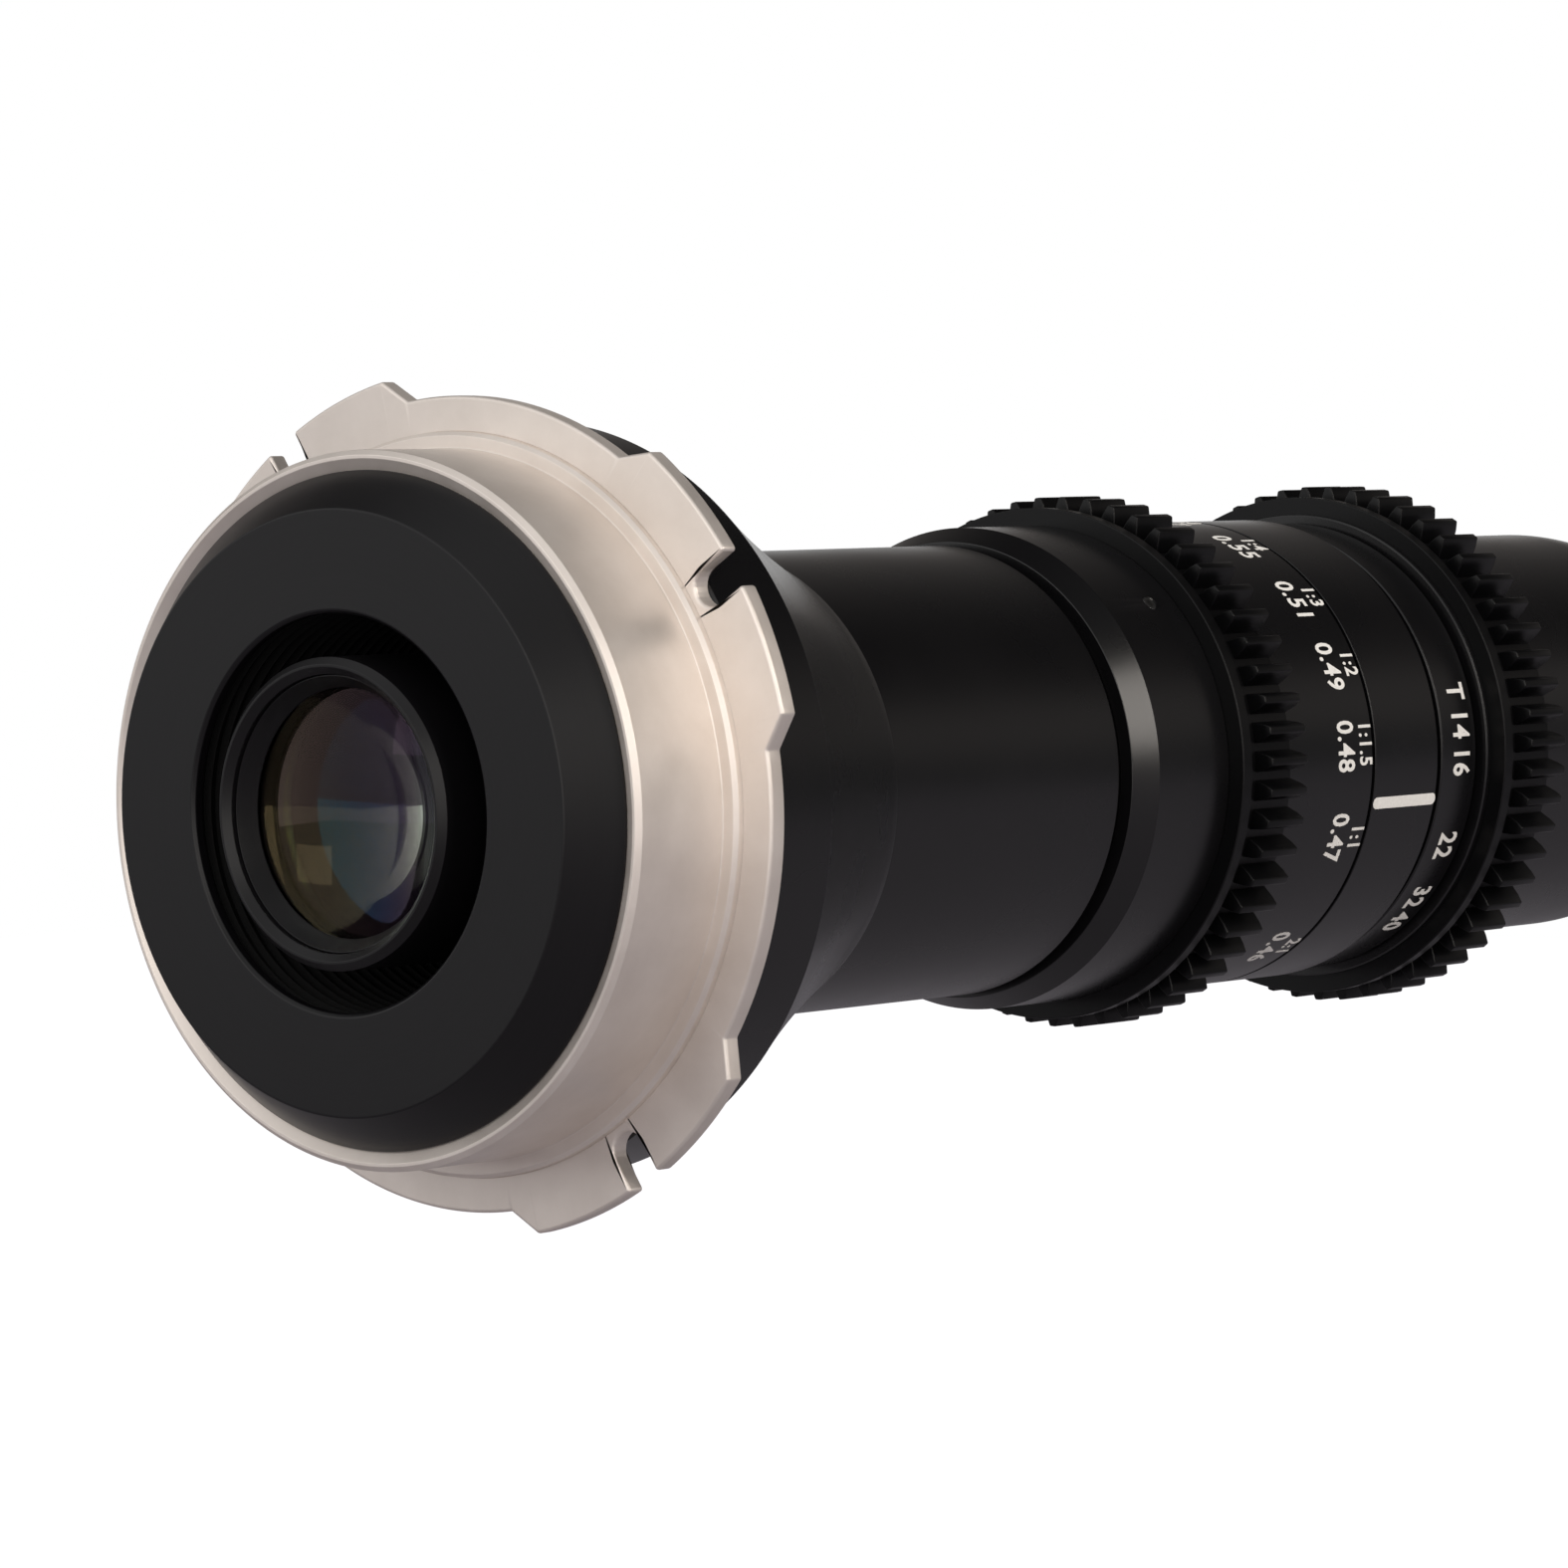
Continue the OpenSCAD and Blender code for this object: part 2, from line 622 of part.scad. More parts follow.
// Screws that pin the rear barrel and the index ring to what they sit on
index_screw_turns = [150, 240];
index_screw_rear_y = index_y + index_len * 0.14;
index_screw_front_y = index_y + index_len * 0.6;
module barrel_screws() color(screw_steel) {
    for (a = barrel_screw_turns)
        radial_pin(barrel_screw_r, guide_bore_r + fixed_gap, rear_barrel_r - fixed_gap, a, barrel_screw_y);
    for (a = index_screw_turns) {
        radial_pin(barrel_screw_r, guide_bore_r + fixed_gap, focus_r - ring_gap, a, index_screw_rear_y);
        radial_pin(barrel_screw_r, guide_bore_r + fixed_gap, focus_r - ring_gap, a, index_screw_front_y);
    }
}

// Focusing: places and paths of the three followers
follower_turns = [for (i = [0:2]) 30 + i * full_turn / 3];
follower_slot_r = follower_r + running_gap;
focus_travel_far = focus_lead * focus_turn_far / full_turn;
focus_travel_near = focus_lead * focus_turn_near / full_turn;
follower_y = focus_gear_y + focus_gear_w * 0.57;
guide_end_y = index_y + index_len * 0.27;
carrier_y = follower_y - carrier_len / 2;

// Fixed barrel with a rear wall for the lens cell and a straight slot for each follower
module guide_barrel() color(black_anodised) {
    slot_y0 = follower_y - focus_travel_far;
    slot_y1 = follower_y + focus_travel_near;
    difference() {
        turned([
            [cell_r + fixed_gap, guide_y], [guide_r, guide_y], [guide_r, guide_end_y],
            [guide_bore_r, guide_end_y], [guide_bore_r, guide_y + guide_rear_wall],
            [cell_r + fixed_gap, guide_y + guide_rear_wall]
        ]);
        for (a = follower_turns) {
            for (y = [slot_y0, slot_y1])
                radial_pin(follower_slot_r, guide_bore_r - over, guide_r + over, a, y);
            radial(a, slot_y0) translate([guide_bore_r - over, -follower_slot_r, 0])
                cube([guide_wall + 2 * over, 2 * follower_slot_r, slot_y1 - slot_y0]);
        }
        for (a = barrel_screw_turns)
            radial_pin(barrel_screw_r, guide_bore_r - over, guide_r + over, a, barrel_screw_y);
        for (a = index_screw_turns)
            radial_pin(barrel_screw_r, guide_bore_r - over, guide_r + over, a, index_screw_rear_y);
    }
}

// Rear lens group, from its mouth to the shoulder that the second lens rests on
mouth_y = guard_y - cell_stand;
rear_ring_y = mouth_y + cell_mouth;
rear_lens_y = rear_ring_y + rear_ring_len;
rear_spacer_y = rear_lens_y + rear_lens_edge;
second_lens_y = rear_spacer_y + rear_spacer_len;
cell_shoulder_y = second_lens_y + second_lens_edge;
module rear_lens_cell() color(black_anodised) {
    bore_r = rear_lens_r + fixed_gap;
    light_r = rear_lens_r - 2 * lens_rim;
    turned([
        [bore_r + cell_edge, mouth_y], [cell_r - cell_edge, mouth_y], [cell_r, mouth_y + cell_edge],
        [cell_r, guide_y + guide_rear_wall], [light_r, guide_y + guide_rear_wall],
        [light_r, cell_shoulder_y], [bore_r, cell_shoulder_y], [bore_r, mouth_y + cell_edge]
    ]);
}

module rear_retaining_ring() color(black_anodised) {
    ring_edge = rear_ring_w / 16;
    turned([
        [rear_lens_r - fixed_gap, rear_ring_y], [rear_lens_r - fixed_gap, rear_lens_y],
        [rear_lens_r - lens_rim, rear_lens_y], [rear_ring_r, rear_lens_y - (rear_ring_w - lens_rim) / 2],
        [rear_ring_r, rear_lens_y - rear_ring_w / 4],
        [rear_lens_r - 2 * ring_edge, rear_ring_y]
    ]);
}

module rear_lens() color(coated_glass) {
    lens(rear_lens_r, rear_lens_y, rear_spacer_y, lens_rim * 2, lens_rim * 1.4);
}

module rear_spacer_ring() color(black_baffle) {
    ring(rear_lens_r - lens_rim, rear_lens_r, rear_spacer_y, second_lens_y);
}

module rear_second_lens() color(coated_glass) {
    lens(rear_lens_r, second_lens_y, cell_shoulder_y, lens_rim, -lens_rim * 1.2);
}

// Turning sleeve under the focus gear and the distance scale
sleeve_screw_turns = [for (i = [0:2]) -42 + i * full_turn / 3];
sleeve_screw_y = focus_y + focus_bevel_len + focus_rear_len * 0.65;
module focus_sleeve() color(black_anodised) {
    difference() {
        turned([
            [sleeve_bore_r, focus_y], [focus_r - focus_bevel_h, focus_y],
            [focus_r, focus_y + focus_bevel_len], [focus_r, focus_gear_y], [scale_seat_r, focus_gear_y],
            [scale_seat_r, focus_end_y], [sleeve_bore_r, focus_end_y]
        ]);
        for (a = sleeve_screw_turns)
            radial_pin(sleeve_screw_r, sleeve_bore_r - over, focus_r + over, a, sleeve_screw_y);
    }
}

module sleeve_screws() color(screw_steel) {
    for (a = sleeve_screw_turns)
        radial_pin(sleeve_screw_r, cam_bore_r + running_gap, focus_r - running_gap, a, sleeve_screw_y);
}

// A gear ring of 2.25 modules' tooth depth, with a lip on its camera side
module gear_ring(teeth, y, w) {
    tip_r = gear_module * (teeth + 2) / 2;
    root_r = tip_r - gear_module * 2.25;
    pitch = full_turn / teeth;
    bore_r = scale_seat_r + fixed_gap;
    lip_r = tip_r - gear_lip_drop;
    teeth_y = y + gear_lip_t + gear_lip_gap;
    root_share = 0.36;
    flank_share = 0.24;
    tip_share = 0.12;
    flank_r = root_r + (tip_r - root_r) * 0.6;
    difference() {
        union() {
            turned([
                [bore_r, y], [lip_r - gear_edge / 2, y], [lip_r, y + gear_edge / 2], [lip_r, y + gear_lip_t],
                [root_r, y + gear_lip_t], [root_r, teeth_y + gear_edge], [bore_r, teeth_y + gear_edge]
            ]);
            intersection() {
                along_axis(teeth_y) linear_extrude(y + w - teeth_y) polygon([
                    for (i = [0:teeth - 1]) each [
                        polar(root_r, (i - root_share) * pitch), polar(flank_r, (i - flank_share) * pitch),
                        polar(tip_r, (i - tip_share) * pitch), polar(tip_r, (i + tip_share) * pitch),
                        polar(flank_r, (i + flank_share) * pitch), polar(root_r, (i + root_share) * pitch)
                    ]
                ]);
                turned([
                    [0, teeth_y], [tip_r - gear_edge, teeth_y], [tip_r + over, teeth_y + gear_edge + over],
                    [tip_r + over, y + w - gear_edge - over], [tip_r - gear_edge, y + w], [0, y + w]
                ]);
            }
        }
        ring(0, bore_r, y - over, y + w + over);
    }
}

module focus_gear() color(black_anodised) gear_ring(focus_teeth, focus_gear_y, focus_gear_w);

module distance_scale() color(black_anodised) {
    edge = scale_wall / 4;
    turned([
        [scale_seat_r + fixed_gap, focus_gear_y + focus_gear_w], [focus_r, focus_gear_y + focus_gear_w],
        [focus_r, focus_end_y - edge], [focus_r - edge, focus_end_y], [scale_seat_r + fixed_gap, focus_end_y]
    ]);
}

// Cam barrel: each follower's slot is a chain of short straight cuts along a helix
module cam_slot(a) {
    steps = 19;
    turn = focus_turn_near + focus_turn_far;
    pitch_r = (cam_bore_r + cam_r) / 2;
    cut_len = 2 * cam_r * tan(turn / steps / 2) + 2 * running_gap;
    lean = atan(focus_lead / (2 * PI * pitch_r));
    for (i = [0:steps - 1]) {
        theta = -focus_turn_near + turn * (i + 0.5) / steps;
        radial(a - theta, follower_y - focus_lead * theta / full_turn) rotate([lean, 0, 0])
            translate([cam_bore_r - over, -cut_len / 2, -follower_slot_r])
                cube([cam_wall + 2 * over, cut_len, 2 * follower_slot_r]);
    }
    for (theta = [-focus_turn_near, focus_turn_far])
        radial_pin(follower_slot_r, cam_bore_r - over, cam_r + over, a - theta,
            follower_y - focus_lead * theta / full_turn);
}

module cam_barrel() color(black_anodised) {
    difference() {
        ring(cam_bore_r, cam_r, focus_y, focus_end_y - ring_gap);
        for (a = follower_turns) cam_slot(a);
        for (a = sleeve_screw_turns)
            radial_pin(sleeve_screw_r, cam_bore_r - over, cam_r + over, a, sleeve_screw_y);
    }
}

// Sliding carrier with a lens let in from each end and an inner land between them
focus_bore_r = focus_lens_r + fixed_gap;
focus_land_r = focus_lens_r - lens_rim;
focus_land_y0 = follower_y - carrier_len * 0.1;
focus_land_y1 = follower_y + carrier_len * 0.1;
focus_keeper_len = carrier_len * 0.1;
module focus_carrier() color(black_anodised) {
    pin_foot_r = (focus_bore_r + carrier_r) / 2;
    difference() {
        turned([
            [focus_bore_r, carrier_y], [carrier_r, carrier_y], [carrier_r, carrier_y + carrier_len],
            [focus_bore_r, carrier_y + carrier_len], [focus_bore_r, focus_land_y1],
            [focus_land_r, focus_land_y1], [focus_land_r, focus_land_y0], [focus_bore_r, focus_land_y0]
        ]);
        for (a = follower_turns) radial_pin(follower_r, pin_foot_r, carrier_r + over, a, follower_y);
    }
}

module cam_followers() color(brass) {
    pin_foot_r = (focus_bore_r + carrier_r) / 2;
    for (a = follower_turns) radial_pin(follower_r, pin_foot_r, cam_r - ring_gap / 2, a, follower_y);
}

module focus_lens_rear() color(coated_glass) {
    lens(focus_lens_r, focus_land_y0 - focus_lens_edge, focus_land_y0, lens_rim, lens_rim);
}

module focus_lens_front() color(coated_glass) {
    lens(focus_lens_r, focus_land_y1, focus_land_y1 + focus_lens_edge, -lens_rim, lens_rim);
}

// Two like threaded rings that keep the lenses in
module focus_keeper_rings() color(black_baffle) {
    y0 = focus_land_y0 - focus_lens_edge - focus_keeper_len;
    y1 = focus_land_y1 + focus_lens_edge;
    for (y = [y0, y1]) ring(focus_land_r, focus_lens_r, y, y + focus_keeper_len);
}

// Five like washers on which the focus ring and the iris ring turn
washer_t = 2 * ring_gap - end_gap;
module thrust_washers() color(black_baffle) {
    for (y = [rear_barrel_end_y, focus_y - end_gap - washer_t, index_y - washer_t, index_end_y,
        front_barrel_y - washer_t])
        ring(fixed_bore_r, cam_r - running_gap, y, y + washer_t);
}

// A round-ended bar along the axis, cut from the ring's skin
module index_bar(depth, rise) {
    y0 = index_y + index_margin + index_w / 2;
    y1 = index_end_y - index_margin - index_w / 2;
    intersection() {
        ring(focus_r - depth, focus_r + rise, index_y, index_end_y);
        union() {
            for (y = [y0, y1]) radial_pin(index_w / 2, focus_r - over, focus_r + over, index_angle, y);
            radial(index_angle, y0) translate([focus_r - over, -index_w / 2, 0])
                cube([2 * over, index_w, y1 - y0]);
        }
    }
}

module index_ring() color(black_anodised) {
    edge = index_margin / 2;
    difference() {
        turned([
            [fixed_bore_r, index_y], [focus_r - edge, index_y], [focus_r, index_y + edge],
            [focus_r, index_end_y - index_edge], [focus_r - index_edge, index_end_y],
            [fixed_bore_r, index_end_y]
        ]);
        index_bar(index_depth, over);
        for (a = index_screw_turns) for (y = [index_screw_rear_y, index_screw_front_y])
            radial_pin(barrel_screw_r, guide_bore_r, focus_r + over, a, y);
    }
}

// Paint that fills the index groove
module index_mark() color(white_paint) index_bar(index_depth, fixed_gap);

// Iris: places of its parts along the axis
iris_seat_y = iris_y + aperture_band_len * 0.72;
blades_y = iris_seat_y + base_plate_t + end_gap;
drive_plate_y = blades_y + (blade_count - 1) * blade_pitch + blade_t + 4 * end_gap;
cover_ring_y = drive_plate_y + drive_plate_t + end_gap;
drive_pin_y = drive_plate_y + drive_plate_t / 2;
housing_end_y = front_barrel_y + holder_t;
blade_shut = blade_ratio * (iris_turn_open + iris_turn_shut);
blade_rest = -blade_ratio * iris_turn_open;
iris_light_r = iris_open_r + lens_rim;

// Place of a blade's drive pin after the blade has turned about its pivot
function turned_about_pivot(p, a) = [
    blade_pivot_r + (p[0] - blade_pivot_r) * cos(a) - p[1] * sin(a),
    (p[0] - blade_pivot_r) * sin(a) + p[1] * cos(a)
];
function drive_point(a) = turned_about_pivot(polar(blade_pivot_r, -blade_drive_angle), a);

// The blade's outline in its open position, with its pivot on +X
module blade_outline() {
    ear = blade_ear_r;
    difference() {
        intersection() {
            circle(r = blade_band_r);
            slice(blade_band_r + over, -blade_span, 0);
        }
        circle(r = iris_open_r);
    }
    for (a = [0, -blade_drive_angle]) rotate(a) {
        translate([blade_pivot_r, 0]) circle(r = ear);
        translate([blade_band_r - ear, -ear]) square([blade_pivot_r - blade_band_r + ear, 2 * ear]);
    }
}

module iris_blade(k) color(blade_black) {
    y = blades_y + (k - 1) * blade_pitch;
    drive = drive_point(0);
    along_axis() rotate(k * full_turn / blade_count)
        translate([blade_pivot_r, 0, 0]) rotate(blade_rest) translate([-blade_pivot_r, 0, 0]) {
            translate([0, 0, y]) linear_extrude(blade_t) blade_outline();
            translate([blade_pivot_r, 0, iris_seat_y + end_gap])
                cylinder(r = blade_pin_r, h = y + blade_t - iris_seat_y - end_gap);
            translate([drive[0], drive[1], y])
                cylinder(r = blade_pin_r, h = drive_plate_y + drive_plate_t - end_gap - y);
        }
}

// Housing tube with a seat for the pivot plate and a window for the drive pin
module iris_housing() color(black_baffle) {
    rear_r = guide_bore_r - guide_wall / 2;
    margin = 4;
    window_h = 2 * drive_pin_r + 4 * running_gap;
    difference() {
        turned([
            [rear_r, guide_end_y], [guide_r, guide_end_y], [guide_r, front_barrel_y + holder_t],
            [guide_bore_r, front_barrel_y + holder_t], [guide_bore_r, iris_seat_y], [rear_r, iris_seat_y]
        ]);
        along_axis(drive_pin_y - window_h / 2) rotate(drive_pin_angle - iris_turn_shut - margin)
            rotate_extrude(angle = iris_turn_shut + iris_turn_open + 2 * margin)
                translate([guide_bore_r - over, 0]) square([guide_wall + 2 * over, window_h]);
        for (a = index_screw_turns)
            radial_pin(barrel_screw_r, guide_bore_r - guide_wall, guide_r + over, a, index_screw_front_y);
    }
}

// Plate with one pivot hole for each blade
module iris_base_plate() color(black_baffle) {
    difference() {
        ring(iris_light_r, guide_bore_r - fixed_gap, iris_seat_y, iris_seat_y + base_plate_t);
        for (i = [1:blade_count]) along_axis(iris_seat_y - over) rotate(i * full_turn / blade_count)
            translate([blade_pivot_r, 0, 0])
                cylinder(r = blade_pin_r + running_gap, h = base_plate_t + 2 * over);
    }
}

// Turning plate: each slot follows its pin's own path as plate and blade turn
module drive_slot() {
    steps = 8;
    r = blade_pin_r + 2 * running_gap;
    path = [for (i = [0:steps])
        let (t = -iris_turn_shut + (iris_turn_open + iris_turn_shut) * i / steps,
             p = drive_point(blade_ratio * (t - iris_turn_open)))
        [p[0] * cos(t) + p[1] * sin(t), p[1] * cos(t) - p[0] * sin(t)]];
    for (p = path) translate(p) circle(r = r);
    for (i = [0:steps - 1]) {
        d = path[i + 1] - path[i];
        translate(path[i]) rotate(atan2(d[1], d[0])) translate([0, -r]) square([norm(d), 2 * r]);
    }
}

module iris_drive_plate() color(blade_black) {
    difference() {
        ring(iris_light_r, guide_bore_r - running_gap, drive_plate_y, drive_plate_y + drive_plate_t);
        for (i = [1:blade_count]) along_axis(drive_plate_y - over) rotate(i * full_turn / blade_count)
            linear_extrude(drive_plate_t + 2 * over) drive_slot();
        radial_pin(drive_pin_r, blade_pivot_r + 2 * blade_pin_r, guide_bore_r, drive_pin_angle, drive_pin_y);
    }
}

module iris_drive_pin() color(screw_steel) {
    radial_pin(drive_pin_r, blade_pivot_r + 2 * blade_pin_r, scale_seat_r, drive_pin_angle, drive_pin_y);
}

module iris_cover_ring() color(black_baffle) {
    ring(iris_light_r, guide_bore_r - fixed_gap, cover_ring_y, cover_ring_y + cover_ring_t);
}

// Outer iris ring: aperture band, groove, step and seat for the gear
module iris_ring() color(black_anodised) {
    edge = band_groove_len / 5;
    groove_y = aperture_band_y + aperture_band_len;
    difference() {
        turned([
            [cam_bore_r, iris_y], [aperture_band_r - band_groove_depth, iris_y],
            [aperture_band_r - band_groove_depth, aperture_band_y],
            [aperture_band_r - edge, aperture_band_y], [aperture_band_r, aperture_band_y + edge],
            [aperture_band_r, groove_y], [aperture_band_r - band_groove_depth, groove_y],
            [aperture_band_r - band_groove_depth, iris_step_y], [iris_step_r - edge, iris_step_y],
            [iris_step_r, iris_step_y + edge], [iris_step_r, iris_gear_y], [scale_seat_r, iris_gear_y],
            [scale_seat_r, iris_end_y], [cam_bore_r, iris_end_y]
        ]);
        radial_pin(drive_pin_r, guide_r, scale_seat_r + over, drive_pin_angle, drive_pin_y);
    }
}

module iris_gear() color(black_anodised) gear_ring(iris_teeth, iris_gear_y, iris_gear_w);

// Front barrel: straight, then a round shoulder and the collar around the tube
tube_seat_r = tube_r - tube_seat_step;
collar_bore_r = tube_seat_r + fixed_gap;
tube_y = shoulder_y + shoulder_len * 0.35;
tube_seal_y = (tube_y + collar_end_y) / 2;
socket_y = front_barrel_y + socket_place;
module front_barrel() color(black_anodised) {
    steps = 12;
    edge = holder_t / 16;
    shoulder_turn = asin(shoulder_len / shoulder_r);
    arc = [for (i = [0:steps]) let (a = shoulder_turn * i / steps) [
        front_barrel_r - shoulder_r * (1 - cos(a)), shoulder_y + shoulder_r * sin(a)
    ]];
    groove = seal_t * 1.1;
    groove_r = tube_seat_r + seal_t + fixed_gap;
    difference() {
        turned(concat(
            [[fixed_bore_r, front_barrel_y], [front_barrel_r - edge, front_barrel_y],
             [front_barrel_r, front_barrel_y + edge]],
            arc,
            [[collar_r, collar_end_y - edge], [collar_r - edge, collar_end_y], [collar_bore_r, collar_end_y],
             [collar_bore_r, tube_seal_y + groove / 2],
             [groove_r, tube_seal_y + groove / 2], [groove_r, tube_seal_y - groove / 2],
             [collar_bore_r, tube_seal_y - groove / 2], [collar_bore_r, tube_y],
             [fixed_bore_r, shoulder_y]]
        ));
        socket_cut();
    }
}

// Children drawn with X across the barrel, Y along it and Z outwards, below the barrel
module below_barrel(r) {
    translate([0, socket_y, -r]) rotate([180, 0, 0]) children();
}

module centred_box(w, l, h) {
    translate([-w / 2, -l / 2, 0]) cube([w, l, h]);
}

module socket_cut() {
    below_barrel(socket_back_r) centred_box(socket_w + 2 * ring_gap, socket_h + 2 * ring_gap, front_barrel_r);
}

// Metal shell of the socket, open to the outside
module power_socket_shell() color(screw_steel) {
    below_barrel(socket_back_r) difference() {
        centred_box(socket_w, socket_h, socket_depth);
        translate([0, 0, socket_wall])
            centred_box(socket_w - 2 * socket_wall, socket_h - 2 * socket_wall, socket_depth);
    }
}

module power_socket_tongue() color(black_baffle) {
    below_barrel(socket_back_r + socket_wall)
        centred_box(socket_w * 0.5, socket_h * 0.25, socket_depth * 0.7);
}

module power_board() color(board_green) {
    below_barrel(socket_back_r - board_t) centred_box(board_w, board_len, board_t);
}

// Two wires from the board to the light board, along the gap between the tubes
wire_track_r = relay_r + (tube_r - tube_wall - relay_r) * 0.36;
module wire_run(p, q, r) {
    d = q - p;
    translate(p) rotate([0, acos(d[2] / norm(d)), atan2(d[1], d[0])]) cylinder(r = r, h = norm(d));
}

module led_wires() color("firebrick") {
    start_y = socket_y + board_len / 2;
    start_r = socket_back_r - board_t / 2;
    for (x = [-2 * wire_r, 2 * wire_r]) {
        a = [x, start_y, -start_r];
        b = [x, start_y + board_t, -start_r];
        c = [x, tube_y - board_t, -wire_track_r];
        d = [x, led_board_y, -wire_track_r];
        wire_run(a, b, wire_r);
        wire_run(b, c, wire_r);
        wire_run(c, d, wire_r);
        translate(b) sphere(r = wire_r + fixed_gap);
        translate(c) sphere(r = wire_r + fixed_gap);
    }
}

// Relay optics: a tube in the probe with lenses and spacers
relay_bore_r = relay_r - relay_wall;
relay_y = cover_ring_y + cover_ring_t + ring_gap;
relay_end_y = tube_end_y - spigot_len / 2;
relay_lens_r = relay_bore_r - fixed_gap;
front_cell_y = relay_end_y - spigot_len;
relay_stack = front_cell_y - relay_y;
relay_spacer_len = (relay_stack - relay_count * relay_lens_edge) / relay_count;
relay_pitch = relay_lens_edge + relay_spacer_len;
module relay_holder() color(black_baffle) {
    ring(relay_r + fixed_gap, guide_r, housing_end_y, housing_end_y + holder_t);
}

module relay_tube() color(black_anodised) ring(relay_bore_r, relay_r, relay_y, relay_end_y);

module relay_lenses() color(coated_glass) {
    for (i = [0:relay_count - 1]) {
        y = relay_y + i * relay_pitch;
        lens(relay_lens_r, y, y + relay_lens_edge, lens_rim, lens_rim);
    }
}

module relay_spacers() color(black_baffle) {
    for (i = [0:relay_count - 1]) {
        y = relay_y + i * relay_pitch + relay_lens_edge;
        ring(relay_lens_r - relay_spacer_wall, relay_lens_r, y, y + relay_spacer_len);
    }
}

module probe_tube() color(black_anodised) {
    turned([
        [tube_bore_r, tube_y], [tube_seat_r, tube_y], [tube_seat_r, collar_end_y], [tube_r, collar_end_y],
        [tube_r, tube_end_y], [tube_bore_r, tube_end_y]
    ]);
}

// Rings that centre the relay tube, each notched for the wires
module wire_notch(y0, y1) {
    translate([-4 * wire_r, y0, -tube_r]) cube([8 * wire_r, y1 - y0, tube_r - wire_track_r + 4 * wire_r]);
}

module tube_supports() color(black_baffle) {
    for (share = [0.25, 0.55, 0.82]) {
        y = tube_y + (tube_end_y - tube_y) * share;
        difference() {
            ring(relay_r + fixed_gap, tube_bore_r - fixed_gap, y, y + tube_support_t);
            wire_notch(y - over, y + tube_support_t + over);
        }
    }
}

// Seals at the collar and at the tip
tip_seal_y = tube_end_y - spigot_len * 0.4;
tip_seal_t = seal_t / 2;
module seal_rings() color(seal_rubber) {
    along_axis(tube_seal_y) rotate_extrude() translate([tube_seat_r + seal_t / 2, 0])
        circle(r = seal_t / 2 - fixed_gap, $fn = 24);
    along_axis(tip_seal_y) rotate_extrude() translate([tube_bore_r - tip_seal_t / 2, 0])
        circle(r = tip_seal_t / 2 - fixed_gap, $fn = 24);
}

// Tip: spigot, floor, inner sleeve and outer wall, open to the front for the lights
tip_floor_t = led_board_t * 1.5;
led_board_y = tube_end_y + tip_floor_t;
window_y = tip_y - window_depth - window_t;
module tip_housing() color(black_anodised) {
    edge = window_depth;
    cell_bore_r = front_cell_r + fixed_gap;
    spigot_r = tube_bore_r - fixed_gap;
    spigot_bore_r = relay_r + 2 * running_gap;
    groove = tip_seal_t * 0.55;
    difference() {
        turned([
            [cell_bore_r, relay_end_y + ring_gap], [spigot_bore_r, relay_end_y + ring_gap],
            [spigot_bore_r, tube_end_y - spigot_len],
            [spigot_r, tube_end_y - spigot_len], [spigot_r, tip_seal_y - groove],
            [spigot_r - 2 * groove, tip_seal_y - groove], [spigot_r - 2 * groove, tip_seal_y + groove],
            [spigot_r, tip_seal_y + groove], [spigot_r, tube_end_y], [tube_r, tube_end_y],
            [tube_r, tip_y - edge], [tube_r - edge, tip_y], [tube_r - tube_wall, tip_y],
            [tube_r - tube_wall, led_board_y], [tip_sleeve_r, led_board_y], [tip_sleeve_r, tip_y],
            [cell_bore_r, tip_y]
        ]);
        wire_notch(tube_end_y - spigot_len - over, tube_end_y);
        for (x = [-2 * wire_r, 2 * wire_r]) translate([x, tube_end_y - over, -wire_track_r])
            rotate([-90, 0, 0]) cylinder(r = wire_r + running_gap, h = tip_floor_t + 2 * over);
    }
}

module led_board() color(board_green) {
    ring(tip_sleeve_r + fixed_gap, tube_bore_r - fixed_gap, led_board_y, led_board_y + led_board_t);
}

module leds() color("lemonchiffon") {
    r = (tip_sleeve_r + tube_bore_r) / 2;
    for (i = [0:led_count - 1]) radial(i * full_turn / led_count, led_board_y + led_board_t)
        translate([r - led_size / 2, -led_size / 2, 0]) cube([led_size, led_size, led_h]);
}

module light_window() color([0.95, 0.95, 0.92, 0.6]) {
    ring(tip_sleeve_r + fixed_gap, tube_bore_r - fixed_gap, window_y, window_y + window_t);
}

// Front lens cell: its foot screws into the relay tube and its lip holds the front lens
front_bore_r = front_cell_r - front_cell_wall;
front_lens_r = front_bore_r - fixed_gap;
front_lens_end_y = tip_y - window_depth - front_lip_t;
front_lens_y = front_lens_end_y - front_lens_edge;
front_second_y = front_lens_y - front_second_edge;
module front_cell() color(black_anodised) {
    lip_r = front_lens_r - lens_rim;
    turned([
        [front_bore_r, front_cell_y], [relay_lens_r, front_cell_y], [relay_lens_r, relay_end_y - running_gap],
        [front_cell_r, relay_end_y - running_gap], [front_cell_r, tip_y - window_depth],
        [lip_r, tip_y - window_depth], [lip_r, front_lens_end_y], [front_bore_r, front_lens_end_y]
    ]);
}

module front_retaining_ring() color(black_baffle) {
    ring(front_lens_r - lens_rim, front_lens_r, front_second_y - front_lens_edge, front_second_y);
}

module front_second_lens() color(coated_glass) {
    lens(front_lens_r, front_second_y, front_lens_y, lens_rim * 0.8, -lens_rim * 0.6);
}

module front_lens() color(coated_glass) {
    lens(front_lens_r, front_lens_y, front_lens_end_y, -lens_rim * 0.5, lens_rim * 0.4);
}

